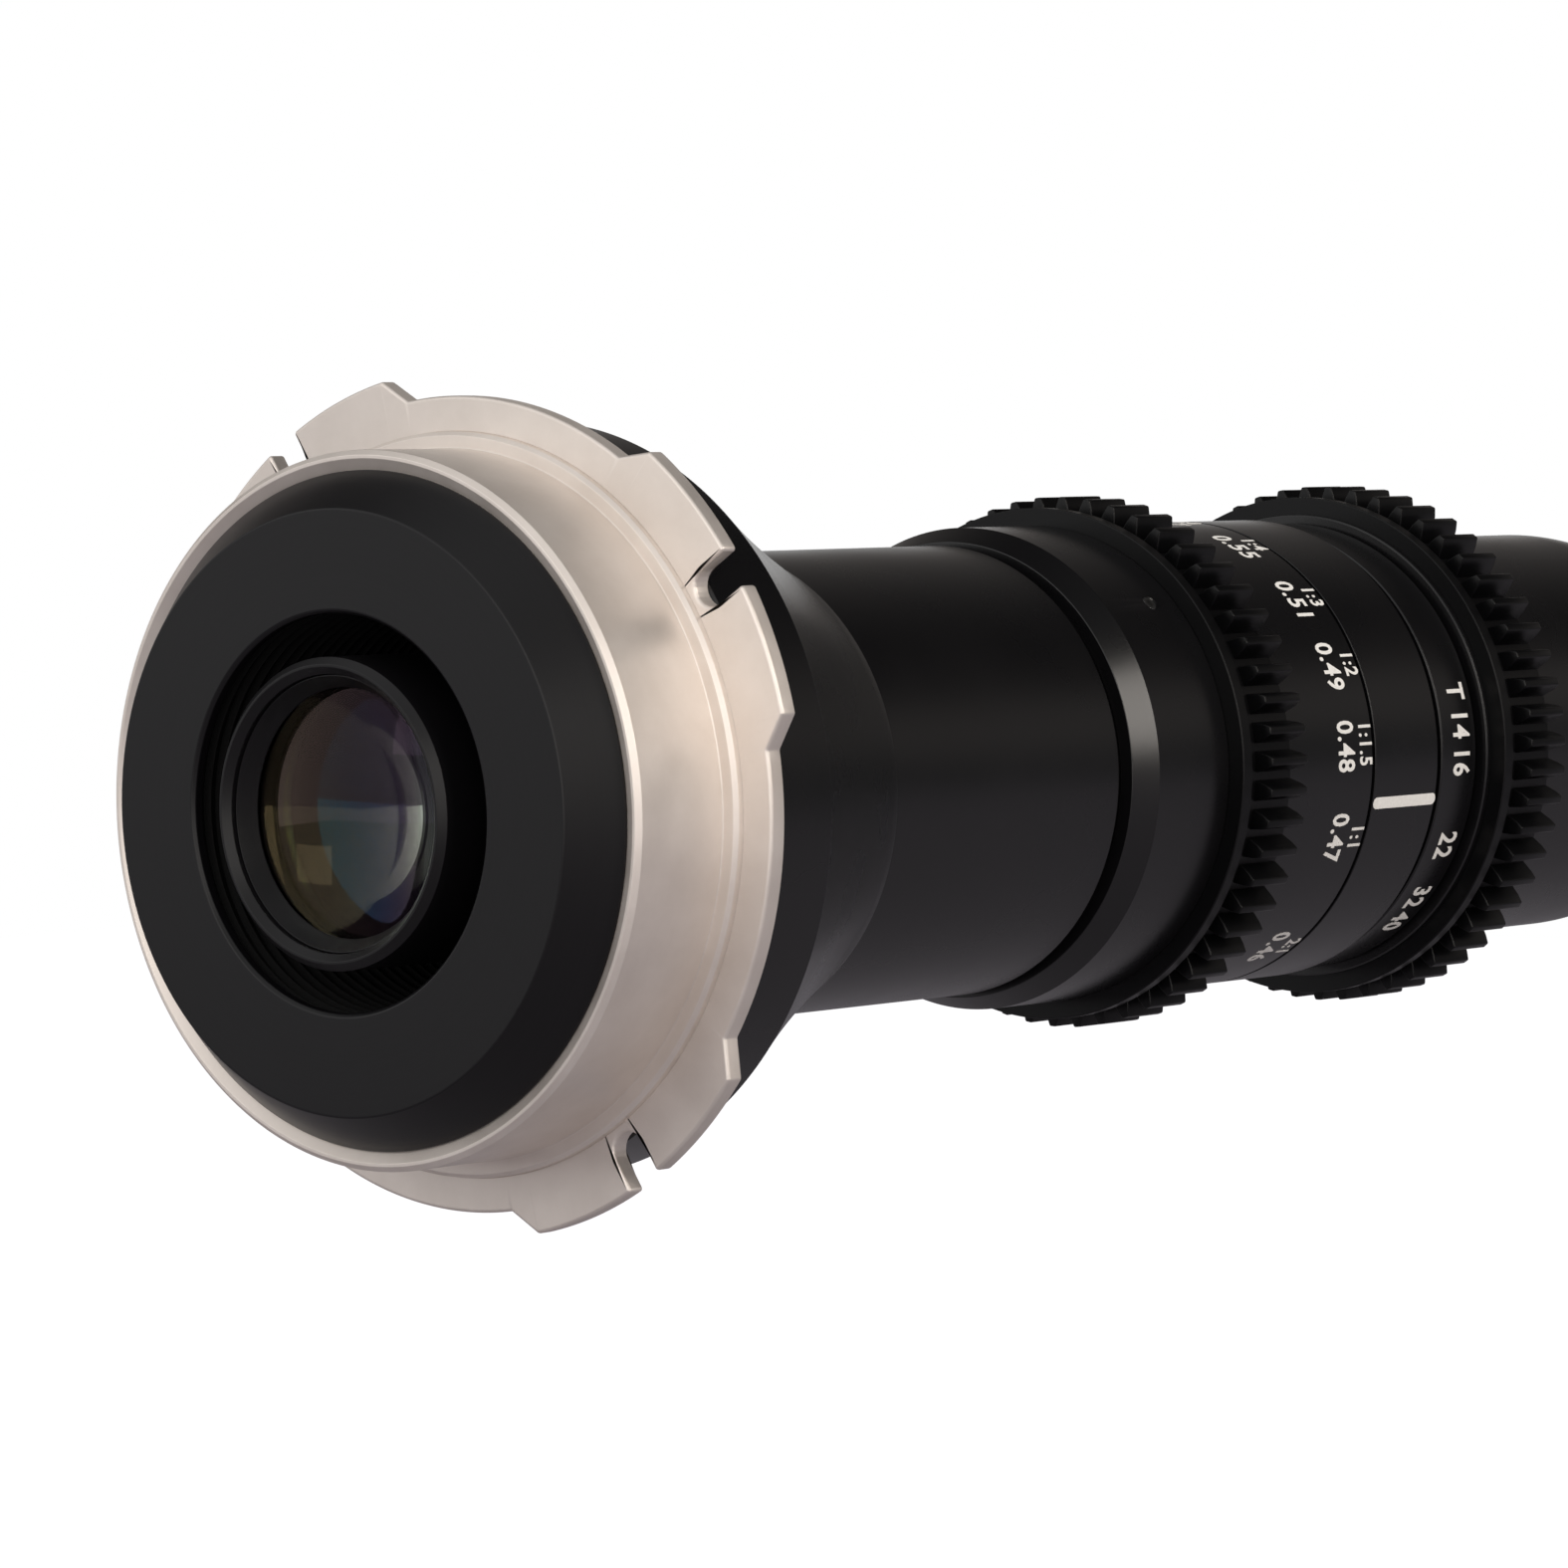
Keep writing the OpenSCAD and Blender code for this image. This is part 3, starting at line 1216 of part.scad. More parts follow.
mount_ring();
mount_screws();
rear_guard_ring();
rear_baffle();
mount_cone();
rear_barrel();
barrel_screws();
guide_barrel();
rear_lens_cell();
rear_retaining_ring();
rear_lens();
rear_spacer_ring();
rear_second_lens();
focus_sleeve();
focus_gear();
distance_scale();
sleeve_screws();
cam_barrel();
focus_carrier();
cam_followers();
focus_lens_rear();
focus_lens_front();
focus_keeper_rings();
thrust_washers();
index_ring();
index_mark();
iris_housing();
iris_base_plate();
iris_blade(1);  // iris_blade_1
iris_blade(2);  // iris_blade_2
iris_blade(3);  // iris_blade_3
iris_blade(4);  // iris_blade_4
iris_blade(5);  // iris_blade_5
iris_blade(6);  // iris_blade_6
iris_blade(7);  // iris_blade_7
iris_drive_plate();
iris_drive_pin();
iris_cover_ring();
iris_ring();
iris_gear();
front_barrel();
relay_holder();
relay_tube();
relay_lenses();
relay_spacers();
probe_tube();
tube_supports();
seal_rings();
tip_housing();
led_board();
leds();
light_window();
front_cell();
front_retaining_ring();
front_second_lens();
front_lens();
power_socket_shell();
power_socket_tongue();
power_board();
led_wires();
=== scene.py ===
# %% [markdown]
# # A probe macro lens, from its silver mount to its lit tip
#
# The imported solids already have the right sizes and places. This lesson dresses them: most
# outer parts of a lens are turned on a lathe, so most cells below spin an outline round the
# optical axis, which is +Y. The mount is at the origin and the tip is 387 mm away.

# %% Load the solids as a fixed frame
import json
import math

import bmesh
import bpy
from mathutils import Matrix, Vector


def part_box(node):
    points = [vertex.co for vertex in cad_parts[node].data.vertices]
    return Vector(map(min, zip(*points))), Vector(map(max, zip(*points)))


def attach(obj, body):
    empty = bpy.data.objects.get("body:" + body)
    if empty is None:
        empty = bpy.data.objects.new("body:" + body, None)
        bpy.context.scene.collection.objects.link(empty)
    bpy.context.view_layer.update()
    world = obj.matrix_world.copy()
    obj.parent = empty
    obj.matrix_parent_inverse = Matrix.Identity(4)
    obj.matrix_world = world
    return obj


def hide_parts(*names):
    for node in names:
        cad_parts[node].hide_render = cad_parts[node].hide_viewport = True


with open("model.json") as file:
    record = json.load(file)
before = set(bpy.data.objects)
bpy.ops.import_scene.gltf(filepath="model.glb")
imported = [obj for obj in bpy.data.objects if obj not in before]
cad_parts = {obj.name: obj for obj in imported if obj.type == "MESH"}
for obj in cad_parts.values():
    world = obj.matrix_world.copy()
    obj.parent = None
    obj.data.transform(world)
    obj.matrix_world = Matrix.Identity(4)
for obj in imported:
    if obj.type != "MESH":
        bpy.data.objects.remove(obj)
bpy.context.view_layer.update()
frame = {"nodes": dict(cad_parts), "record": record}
slot_of = {part["node"]: part["material_slot"] for part in frame["record"]["subparts"]}

# %% Measure a solid, and put a thing in the scene
def ends(node):
    """A solid's outer radius and its two ends along the axis, in mm."""
    low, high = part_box(node)
    outer_r = max(-low.x, high.x, -low.z, high.z)
    return [round(1000 * value, 3) for value in (outer_r, low.y, high.y)]


def put(name, data):
    thing = bpy.data.objects.new(name, data)
    bpy.context.scene.collection.objects.link(thing)
    return thing


print("mount ring from", ends("mount_ring")[1], "to", ends("mount_ring")[2], "mm")

# %% [markdown]
# ## Camera
#
# The photograph is taken from half a metre away with a long lens, a little above the axis and
# three quarters from behind the mount. A camera is only a place, three directions and a focal
# length. The directions are written as the columns of a matrix, because that is exact,
# where a Track To constraint would leave the roll to chance.

# %% Place the camera
camera_data = bpy.data.cameras.new("camera")
camera_data.sensor_width, camera_data.lens, camera_data.clip_end = 36, 151.9, 20
camera = put("camera", camera_data)
place = Vector((0.3411, -0.3679, 0.0186))
right = Vector((0.76623, 0.64188, -0.02964)).normalized()
forward = Vector((-0.64256, 0.76541, -0.03535)).normalized()
up = right.cross(forward)
camera.matrix_world = (Matrix.Translation(place)
                       @ Matrix((right, up, -forward)).transposed().to_4x4())
bpy.context.scene.camera = camera
bpy.context.scene.view_settings.view_transform = "Standard"
print("camera is", round(camera.location.length * 1000), "mm from the mount")

# %% [markdown]
# ## One helper for every node tree
#
# Materials, the world and Geometry Nodes are all trees of nodes. One small function adds any
# node, sets its properties, and fills its inputs, either with a value or with another node's
# output. Colours are written as on the web and turned to linear light once, here.

# %% Helpers for trees and colours
def fill(tree, node, inputs):
    for key, value in inputs.items():
        if isinstance(value, bpy.types.NodeSocket):
            tree.links.new(value, node.inputs[key])
        else:
            node.inputs[key].default_value = value


def add(tree, kind, settings=None, inputs=None):
    new = tree.nodes.new(kind)
    for key, value in (settings or {}).items():
        setattr(new, key, value)
    fill(tree, new, inputs or {})
    return new


def colour(code):
    parts = [int(code[i:i + 2], 16) / 255 for i in (1, 3, 5)]
    return tuple(c / 12.92 if c <= 0.04045 else ((c + 0.055) / 1.055) ** 2.4 for c in parts) + (1.0,)


print("mid grey in linear light:", round(colour("#808080")[0], 3))

# %% [markdown]
# ## Studio
#
# A black lens is seen by what it reflects, so the studio round it matters as much as the
# lamps. In the photograph the room behind the lens is dark above and pale below, a white
# card stands far behind it, and the camera's side is pale, darker to the right. The world
# answers each kind of ray: the camera and glass see pure white, reflections see that room,
# and matt surfaces get a plain soft light.

# %% The room that reflections see
world = bpy.data.worlds.new("studio")
bpy.context.scene.world = world
world.use_nodes = True
air = world.node_tree
air.nodes.clear()
direction = add(air, "ShaderNodeTexCoord").outputs["Generated"]
parts = add(air, "ShaderNodeSeparateXYZ", inputs={0: direction})
lift = add(air, "ShaderNodeMapRange", inputs={
    "Value": parts.outputs["Z"], "From Min": -1.0, "From Max": 1.0})


def ramp(tree, factor, levels):
    """A colour ramp from (place, level, tint) stops."""
    made = add(tree, "ShaderNodeValToRGB", inputs={"Fac": factor})
    stops = made.color_ramp.elements
    stops[0].position, stops[1].position = levels[0][0], levels[-1][0]
    for place, level, tint in levels[1:-1]:
        stops.new(place)
    for stop, (place, level, tint) in zip(stops, levels):
        stop.position, stop.color = place, tuple(level * c for c in colour(tint)[:3]) + (1,)
    return made.outputs["Color"]


warm, plain, cool = "#fff6f0", "#ffffff", "#fdf6ff"
far_side = ramp(air, lift.outputs[0], [
    (0.0, 0.4, cool), (0.3, 0.33, cool), (0.45, 0.3, cool), (0.475, 0.1, plain), (0.52, 0.1, plain),
    (0.58, 0.26, warm), (0.65, 0.24, warm), (0.71, 0.04, warm), (0.78, 0.01, warm), (1.0, 0.01, warm)])
towards_card = add(air, "ShaderNodeVectorMath", {"operation": "DOT_PRODUCT"}, {
    0: direction, 1: tuple(forward)})
card = ramp(air, towards_card.outputs["Value"], [
    (0.45, 0.0, warm), (0.72, 0.09, warm), (0.9, 0.16, warm), (0.95, 0.32, warm), (0.985, 1.0, plain)])
across = add(air, "ShaderNodeMapRange", inputs={
    "Value": parts.outputs["X"], "From Min": -1.0, "From Max": 1.0})
near_room = ramp(air, across.outputs[0], [
    (0.35, 0.92, plain), (0.6, 0.78, plain), (0.75, 0.48, plain), (0.88, 0.2, plain), (1.0, 0.12, plain)])
far_room = add(air, "ShaderNodeMix", {"data_type": "RGBA", "blend_type": "LIGHTEN"}, {
    "Factor": 1.0, 6: far_side, 7: card})
side = add(air, "ShaderNodeMapRange", {"interpolation_type": "SMOOTHSTEP"}, {
    "Value": parts.outputs["Y"], "From Min": -0.25, "From Max": 0.06})
room = add(air, "ShaderNodeMix", {"data_type": "RGBA"}, {
    "Factor": side.outputs[0], 6: near_room, 7: far_room.outputs[2]})
print("room nodes:", len(air.nodes))

# %% What each kind of ray gets
soft_light, white = (0.72, 0.72, 0.72, 1), (1, 1, 1, 1)
ray = add(air, "ShaderNodeLightPath")
white_ray = add(air, "ShaderNodeMath", {"operation": "MAXIMUM"}, {
    0: ray.outputs["Is Camera Ray"], 1: ray.outputs["Is Transmission Ray"]})
reflected = add(air, "ShaderNodeMix", {"data_type": "RGBA"}, {
    "Factor": ray.outputs["Is Glossy Ray"], 6: soft_light, 7: room.outputs[2]})
shown = add(air, "ShaderNodeMix", {"data_type": "RGBA"}, {
    "Factor": white_ray.outputs[0], 6: reflected.outputs[2], 7: white})
sky = add(air, "ShaderNodeBackground", inputs={"Color": shown.outputs[2]})
add(air, "ShaderNodeOutputWorld", inputs={"Surface": sky.outputs[0]})
print("world nodes:", len(air.nodes))

# %% [markdown]
# Three soft boxes do the rest: a tall bright one to the right, which lights the bevel of the
# focus sleeve and nothing else that faces the camera, a large mild one behind the camera,
# and a smaller one up to the left. The silver mount reflects the last two.

# %% Soft boxes
lamp_watts = 4


def soft_box(name, place, aim, size, glow, tint):
    """An area lamp that glows with lamp_watts for each square metre and each step of glow."""
    lamp = bpy.data.lights.new(name, "AREA")
    lamp.shape, lamp.size, lamp.size_y = "RECTANGLE", size[0], size[1]
    lamp.energy = glow * lamp_watts * size[0] * size[1]
    lamp.color = colour(tint)[:3]
    holder = put(name, lamp)
    holder.location = place
    holder.rotation_euler = (Vector(aim) - Vector(place)).to_track_quat("-Z", "Y").to_euler()
    holder.visible_camera = False


soft_box("right_box", (1.25, 0.05, 0.5), (0, 0.06, 0.02), (0.35, 0.75), 6.2, "#fff8f0")
soft_box("camera_box", (0.66, -0.98, 0.3), (0, 0, 0), (1.1, 0.9), 1.4, "#fffaf5")
soft_box("upper_left_box", (-0.3, -1.1, 0.4), (0, 0, 0), (0.45, 0.36), 1.2, "#fffaf5")

# %% [markdown]
# The floor is a sheet of white paper below the lens. It glows for the camera alone, so that it
# looks white, and matt surfaces see it as grey.

# %% The floor
floor_z, floor_half = -0.12, 1.5
floor_mesh = bpy.data.meshes.new("floor")
floor_mesh.from_pydata(
    [(x * floor_half, y * floor_half, floor_z) for x, y in [(-1, -1), (1, -1), (1, 1), (-1, 1)]],
    [], [(0, 1, 2, 3)])
floor = put("floor", floor_mesh)
paper = bpy.data.materials.new("white_studio_paper")
paper.use_nodes = True
sheet = paper.node_tree
sheet.nodes.clear()
ray = add(sheet, "ShaderNodeLightPath")
matt = add(sheet, "ShaderNodeBsdfDiffuse", inputs={"Color": colour("#918d93")})
glow = add(sheet, "ShaderNodeEmission", inputs={"Color": white, "Strength": 0.84})
both = add(sheet, "ShaderNodeAddShader", inputs={0: matt.outputs[0], 1: glow.outputs[0]})
pick = add(sheet, "ShaderNodeMixShader", inputs={
    0: ray.outputs["Is Camera Ray"], 1: matt.outputs[0], 2: both.outputs[0]})
add(sheet, "ShaderNodeOutputMaterial", inputs={"Surface": pick.outputs[0]})
floor_mesh.materials.append(paper)
print("floor at z =", floor_z)

# %% [markdown]
# ## Patterns that every finish uses
#
# All the patterns read Object coordinates, which are metres in the part's own frame. A
# pattern of a given size in millimetres therefore has a scale of 1000 divided by that size.
# Turned parts carry fine rings round the axis: a noise that reads only the distance from
# the axis and the place along it gives them on faces and on cylinders alike.

# %% Start a material
micron = 0.000001
finishes = {}


def per_mm(size):
    return 1000.0 / size


def start_material(name):
    made = bpy.data.materials.new(name)
    made.use_nodes = True
    tree = made.node_tree
    tree.nodes.clear()
    shader = add(tree, "ShaderNodeBsdfPrincipled")
    add(tree, "ShaderNodeOutputMaterial", inputs={"Surface": shader.outputs[0]})
    place = add(tree, "ShaderNodeTexCoord").outputs["Object"]
    return made, tree, shader, place


def finish_material(finish, made, shader, inputs):
    """Fills the shader's inputs and files the material under the name of its finish."""
    fill(made.node_tree, shader, inputs)
    finishes[finish] = made
    print(made.name, len(made.node_tree.nodes))


print("1 mm pattern scale:", per_mm(1))

# %% The coordinate of turned parts, and a pattern in two tones
def turned_rings(tree, place):
    """Distance from the axis and place along it, the same all the way round."""
    flat = add(tree, "ShaderNodeVectorMath", {"operation": "MULTIPLY"}, {0: place, 1: (1, 0, 1)})
    reach = add(tree, "ShaderNodeVectorMath", {"operation": "LENGTH"}, {0: flat.outputs[0]})
    split = add(tree, "ShaderNodeSeparateXYZ", inputs={0: place})
    rings = add(tree, "ShaderNodeCombineXYZ", inputs={
        "X": reach.outputs["Value"], "Y": split.outputs["Y"]})
    return rings.outputs[0]


def two_tones(tree, where, size, detail, dark, light, roughness=0.5):
    """A cloudy pattern of the given size in mm, and the two colours mixed by it."""
    pattern = add(tree, "ShaderNodeTexNoise", inputs={
        "Vector": where, "Scale": per_mm(size), "Detail": detail, "Roughness": roughness})
    tone = add(tree, "ShaderNodeMix", {"data_type": "RGBA"}, {
        "Factor": pattern.outputs["Fac"], 6: colour(dark), 7: colour(light)})
    return pattern.outputs["Fac"], tone.outputs[2]


# %% [markdown]
# ## Black anodised aluminium
#
# Real barrels are turned, bead blasted and anodised. The blasting leaves a grain of about
# 0.06 mm, drawn here at 0.12 mm so that it shows, and the oxide is a clear glassy skin over
# a dye, so the surface is not metallic in the shader: a dark base under a soft clear
# reflection. Handling polishes it unevenly, so the roughness wanders over centimetres.

# %% Black anodised aluminium, bead blasted
made, tree, shader, place = start_material("black_anodised_aluminium")
handled, dye = two_tones(tree, place, 14, 3.0, "#070708", "#0c0b0d")
blast = add(tree, "ShaderNodeTexNoise", inputs={"Vector": place, "Scale": per_mm(0.12), "Detail": 2.0})
gloss = add(tree, "ShaderNodeMapRange", inputs={
    "Value": handled, "From Min": 0.3, "From Max": 0.7, "To Min": 0.25, "To Max": 0.31})
grain = add(tree, "ShaderNodeBump", inputs={
    "Height": blast.outputs["Fac"], "Strength": 0.3, "Distance": 6 * micron})
finish_material("black_anodised", made, shader, {
    "Base Color": dye, "Roughness": gloss.outputs[0], "Normal": grain.outputs[0]})

# %% [markdown]
# The guard ring and the cell's face keep their lathe rings: a feed of about 0.1 mm a turn,
# drawn at 0.16 mm. On a face these rings spread the light across the turning, which is what
# makes the flat black face look evenly lit.

# %% Black anodised aluminium, fine turned
made, tree, shader, place = start_material("black_anodised_fine_turned")
feed, dye = two_tones(tree, turned_rings(tree, place), 0.16, 1.0, "#09080a", "#0e0d0f")
blast = add(tree, "ShaderNodeTexNoise", inputs={"Vector": place, "Scale": per_mm(0.12), "Detail": 1.0})
relief = add(tree, "ShaderNodeMath", {"operation": "MULTIPLY_ADD"}, {
    0: feed, 1: 0.8, 2: blast.outputs["Fac"]})
grain = add(tree, "ShaderNodeBump", inputs={
    "Height": relief.outputs[0], "Strength": 0.3, "Distance": 6 * micron})
finish_material("black_turned", made, shader, {
    "Base Color": dye, "Normal": grain.outputs[0], "Roughness": 0.36, "Specular IOR Level": 0.28})

# %% [markdown]
# The gears are hobbed before they are anodised. A cutter leaves fine steps across each
# tooth, about 0.05 mm apart and drawn at 0.1 mm, which dull them. Their black is also painted
# darker than the barrel's, as painted shade for the shade that falls among the teeth.

# %% Black anodised aluminium, hobbed, with painted shade
made, tree, shader, place = start_material("black_anodised_hobbed_painted_shade")
# The darker blacks here are painted shade: they darken the gears for the shade among their teeth.
steps, dye = two_tones(tree, place, 0.1, 2.0, "#040405", "#080809")
grain = add(tree, "ShaderNodeBump", inputs={
    "Height": steps, "Strength": 0.3, "Distance": 6 * micron})
finish_material("black_hobbed_painted_shade", made, shader, {
    "Base Color": dye, "Normal": grain.outputs[0], "Roughness": 0.34, "Specular IOR Level": 0.22})

# %% [markdown]
# ## Matt black light trap
#
# Inside a lens stray light is caught by a dead matt paint over fine grooves. The paint is
# rough at 0.1 mm and has almost no reflection.

# %% Matt black baffle paint
made, tree, shader, place = start_material("matt_black_baffle_paint")
spray, tone = two_tones(tree, place, 0.1, 3.0, "#040404", "#0a0a0a")
relief = add(tree, "ShaderNodeBump", inputs={
    "Height": spray, "Strength": 0.5, "Distance": 20 * micron})
finish_material("baffle_black", made, shader, {
    "Base Color": tone, "Normal": relief.outputs[0], "Roughness": 0.8, "Specular IOR Level": 0.2})

# %% [markdown]
# ## Satin nickel on the mount
#
# Mounts are turned in brass, plated with nickel or chrome, and rubbed by the camera. The
# plating is warm and a little blotchy over 2 to 6 mm, with turned rings of about 0.08 mm
# drawn at 0.14 mm, and a fine grain that dulls it.

# %% Satin nickel plate
made, tree, shader, place = start_material("satin_nickel_plate")
blotch, tone = two_tones(tree, place, 5, 5.0, "#d8cec5", "#f1e9e2", roughness=0.6)
feed = add(tree, "ShaderNodeTexNoise", inputs={
    "Vector": turned_rings(tree, place), "Scale": per_mm(0.14), "Detail": 1.0})
rub = add(tree, "ShaderNodeTexNoise", inputs={"Vector": place, "Scale": per_mm(0.2), "Detail": 2.0})
gloss = add(tree, "ShaderNodeMapRange", inputs={
    "Value": blotch, "From Min": 0.3, "From Max": 0.7, "To Min": 0.44, "To Max": 0.52})
relief = add(tree, "ShaderNodeMath", {"operation": "MULTIPLY_ADD"}, {
    0: rub.outputs["Fac"], 1: 0.25, 2: feed.outputs["Fac"]})
grain = add(tree, "ShaderNodeBump", inputs={
    "Height": relief.outputs[0], "Strength": 0.3, "Distance": 3 * micron})
along = add(tree, "ShaderNodeTangent", {"direction_type": "RADIAL", "axis": "Y"})
finish_material("mount_nickel", made, shader, {
    "Base Color": tone, "Roughness": gloss.outputs[0], "Normal": grain.outputs[0],
    "Metallic": 0.8, "Anisotropic": 0.4, "Anisotropic Rotation": 0.25, "Tangent": along.outputs[0]})

# %% [markdown]
# ## Coated glass
#
# Each element is crown or flint glass, index about 1.6. A coating a quarter of a wave thick,
# about 105 nm, leaves only a dark magenta reflection. The second lens has a thicker one that
# leaves green. The thin film inputs of the shader do just that. Real glass also has a trace
# of haze, a faint roughness in patches of 2 or 3 mm.

# %% Coated optical glass
for finish, title, film in [("coated_glass", "coated_optical_glass", 105.0),
                            ("green_coated_glass", "green_coated_optical_glass", 385.0)]:
    made, tree, shader, place = start_material(title)
    dust = add(tree, "ShaderNodeTexNoise", inputs={"Vector": place, "Scale": per_mm(2.5), "Detail": 1.0})
    haze = add(tree, "ShaderNodeMapRange", inputs={
        "Value": dust.outputs["Fac"], "From Min": 0.55, "From Max": 0.8, "To Min": 0.0, "To Max": 0.01})
    finish_material(finish, made, shader, {
        "Base Color": colour("#cfd8cc"), "Roughness": haze.outputs[0], "Transmission Weight": 1.0,
        "IOR": 1.6, "Thin Film Thickness": film, "Thin Film IOR": 1.38})

# %% [markdown]
# ## Small metals
#
# The cam followers are turned brass, the screws are plain steel with a tumbled grain, and
# the iris blades are thin steel with a dry black oxide.

# %% Turned brass
made, tree, shader, place = start_material("turned_brass")
feed, tone = two_tones(tree, turned_rings(tree, place), 0.12, 1.0, "#c9a863", "#dcc083")
grain = add(tree, "ShaderNodeBump", inputs={
    "Height": feed, "Strength": 0.3, "Distance": 6 * micron})
finish_material("brass", made, shader, {
    "Base Color": tone, "Normal": grain.outputs[0], "Metallic": 1.0, "Roughness": 0.26})

# %% Tumbled screw steel
made, tree, shader, place = start_material("tumbled_screw_steel")
tumble, tone = two_tones(tree, place, 0.15, 2.0, "#7c7b7c", "#a2a1a0")
grain = add(tree, "ShaderNodeBump", inputs={
    "Height": tumble, "Strength": 0.4, "Distance": 8 * micron})
finish_material("screw_steel", made, shader, {
    "Base Color": tone, "Normal": grain.outputs[0], "Metallic": 1.0, "Roughness": 0.34})

# %% Black oxide on blade steel
made, tree, shader, place = start_material("black_oxide_blade_steel")
rubbed, tone = two_tones(tree, place, 1.5, 4.0, "#19191b", "#2b2b2e")
gloss = add(tree, "ShaderNodeMapRange", inputs={
    "Value": rubbed, "From Min": 0.3, "From Max": 0.7, "To Min": 0.35, "To Max": 0.55})
finish_material("blade_steel", made, shader, {
    "Base Color": tone, "Roughness": gloss.outputs[0], "Metallic": 0.6})

# %% [markdown]
# ## Rubber, board, lights and socket
#
# The small parts of the light at the tip: nitrile seal rings, a green lacquered board, white
# light-emitting chips under a yellow phosphor, a milky acrylic window, and the power socket
# with its moulded tongue and two insulated wires. The thrust washers are moulded too.

# %% Nitrile rubber
made, tree, shader, place = start_material("nitrile_rubber")
_, tone = two_tones(tree, place, 0.5, 3.0, "#0e0e0e", "#1c1c1b")
finish_material("seal_rubber", made, shader, {"Base Color": tone, "Roughness": 0.6})

# %% Green solder mask over copper
made, tree, shader, place = start_material("green_solder_mask")
tracks = add(tree, "ShaderNodeTexVoronoi", {"feature": "DISTANCE_TO_EDGE"}, {
    "Vector": place, "Scale": per_mm(1.1)})
edge = add(tree, "ShaderNodeMapRange", inputs={
    "Value": tracks.outputs["Distance"], "From Min": 0.08, "From Max": 0.14})
tone = add(tree, "ShaderNodeMix", {"data_type": "RGBA"}, {
    "Factor": edge.outputs[0], 6: colour("#1f5c38"), 7: colour("#12402a")})
relief = add(tree, "ShaderNodeBump", inputs={
    "Height": edge.outputs[0], "Strength": 0.4, "Distance": 30 * micron})
finish_material("board_green", made, shader, {
    "Base Color": tone.outputs[2], "Normal": relief.outputs[0], "Roughness": 0.3})

# %% Light chip under its phosphor
made, tree, shader, place = start_material("phosphor_over_light_chip")
_, tone = two_tones(tree, place, 0.2, 2.0, "#e6d678", "#f2e9b4")
finish_material("light_white", made, shader, {"Base Color": tone, "Roughness": 0.35})

# %% Milky acrylic window
made, tree, shader, place = start_material("milky_acrylic")
_, tone = two_tones(tree, place, 0.6, 2.0, "#dcdad2", "#efeee8")
finish_material("window_milky", made, shader, {
    "Base Color": tone, "Roughness": 0.42, "Transmission Weight": 0.45, "IOR": 1.49})

# %% Moulded nylon of the socket
made, tree, shader, place = start_material("moulded_black_nylon")
spark, tone = two_tones(tree, place, 0.1, 2.0, "#101010", "#1b1b1c")
relief = add(tree, "ShaderNodeBump", inputs={
    "Height": spark, "Strength": 0.3, "Distance": 10 * micron})
finish_material("socket_black", made, shader, {
    "Base Color": tone, "Normal": relief.outputs[0], "Roughness": 0.5})

# %% Red wire insulation
made, tree, shader, place = start_material("red_wire_insulation")
_, tone = two_tones(tree, place, 2, 2.0, "#7e1d18", "#9c2a20")
finish_material("wire_red", made, shader, {"Base Color": tone, "Roughness": 0.38})

# %% [markdown]
# ## White filled paint
#
# The numbers are engraved and filled with white enamel, or printed. The paint is not quite
# white, and its film is uneven at 0.3 mm, which keeps small digits from looking pasted on.

# %% White enamel
made, tree, shader, place = start_material("white_filled_enamel")
film, tone = two_tones(tree, place, 0.3, 3.0, "#d6d2cb", "#efece6")
relief = add(tree, "ShaderNodeBump", inputs={
    "Height": film, "Strength": 0.3, "Distance": 10 * micron})
finish_material("white_paint", made, shader, {
    "Base Color": tone, "Normal": relief.outputs[0], "Roughness": 0.5})

# %% [markdown]
# ## The solids that stay
#
# Inner parts already have the right shape. They keep their mesh and get these finishes, by
# the material slot that the record names. The ones that show are then replaced one by one.

# %% Dress every solid
for node, thing in frame["nodes"].items():
    thing.data.materials.clear()
    thing.data.materials.append(finishes[slot_of[node]])
print("dressed", len(frame["nodes"]), "solids with", len(finishes), "finishes")

# %% [markdown]
# ## A lathe
#
# A turned part is an outline of radius and place along the axis, spun round. A razor-sharp
# edge never catches light, so every corner first gets a small round, as the real cutting tool
# leaves. The direction that each point faces is known exactly from the outline, and is
# given to the mesh as its normals. That keeps flat faces flat in the render with very few
# faces, where plain smooth shading would bend the light across them. A corner that turns by
# less than the gentle turn, in radians, is part of a curve and stays, and a round takes no
# more than the longest cut, a share of the side that it eats into.

# %% Round an outline's corners
gentle_turn, longest_cut = 0.25, 0.4


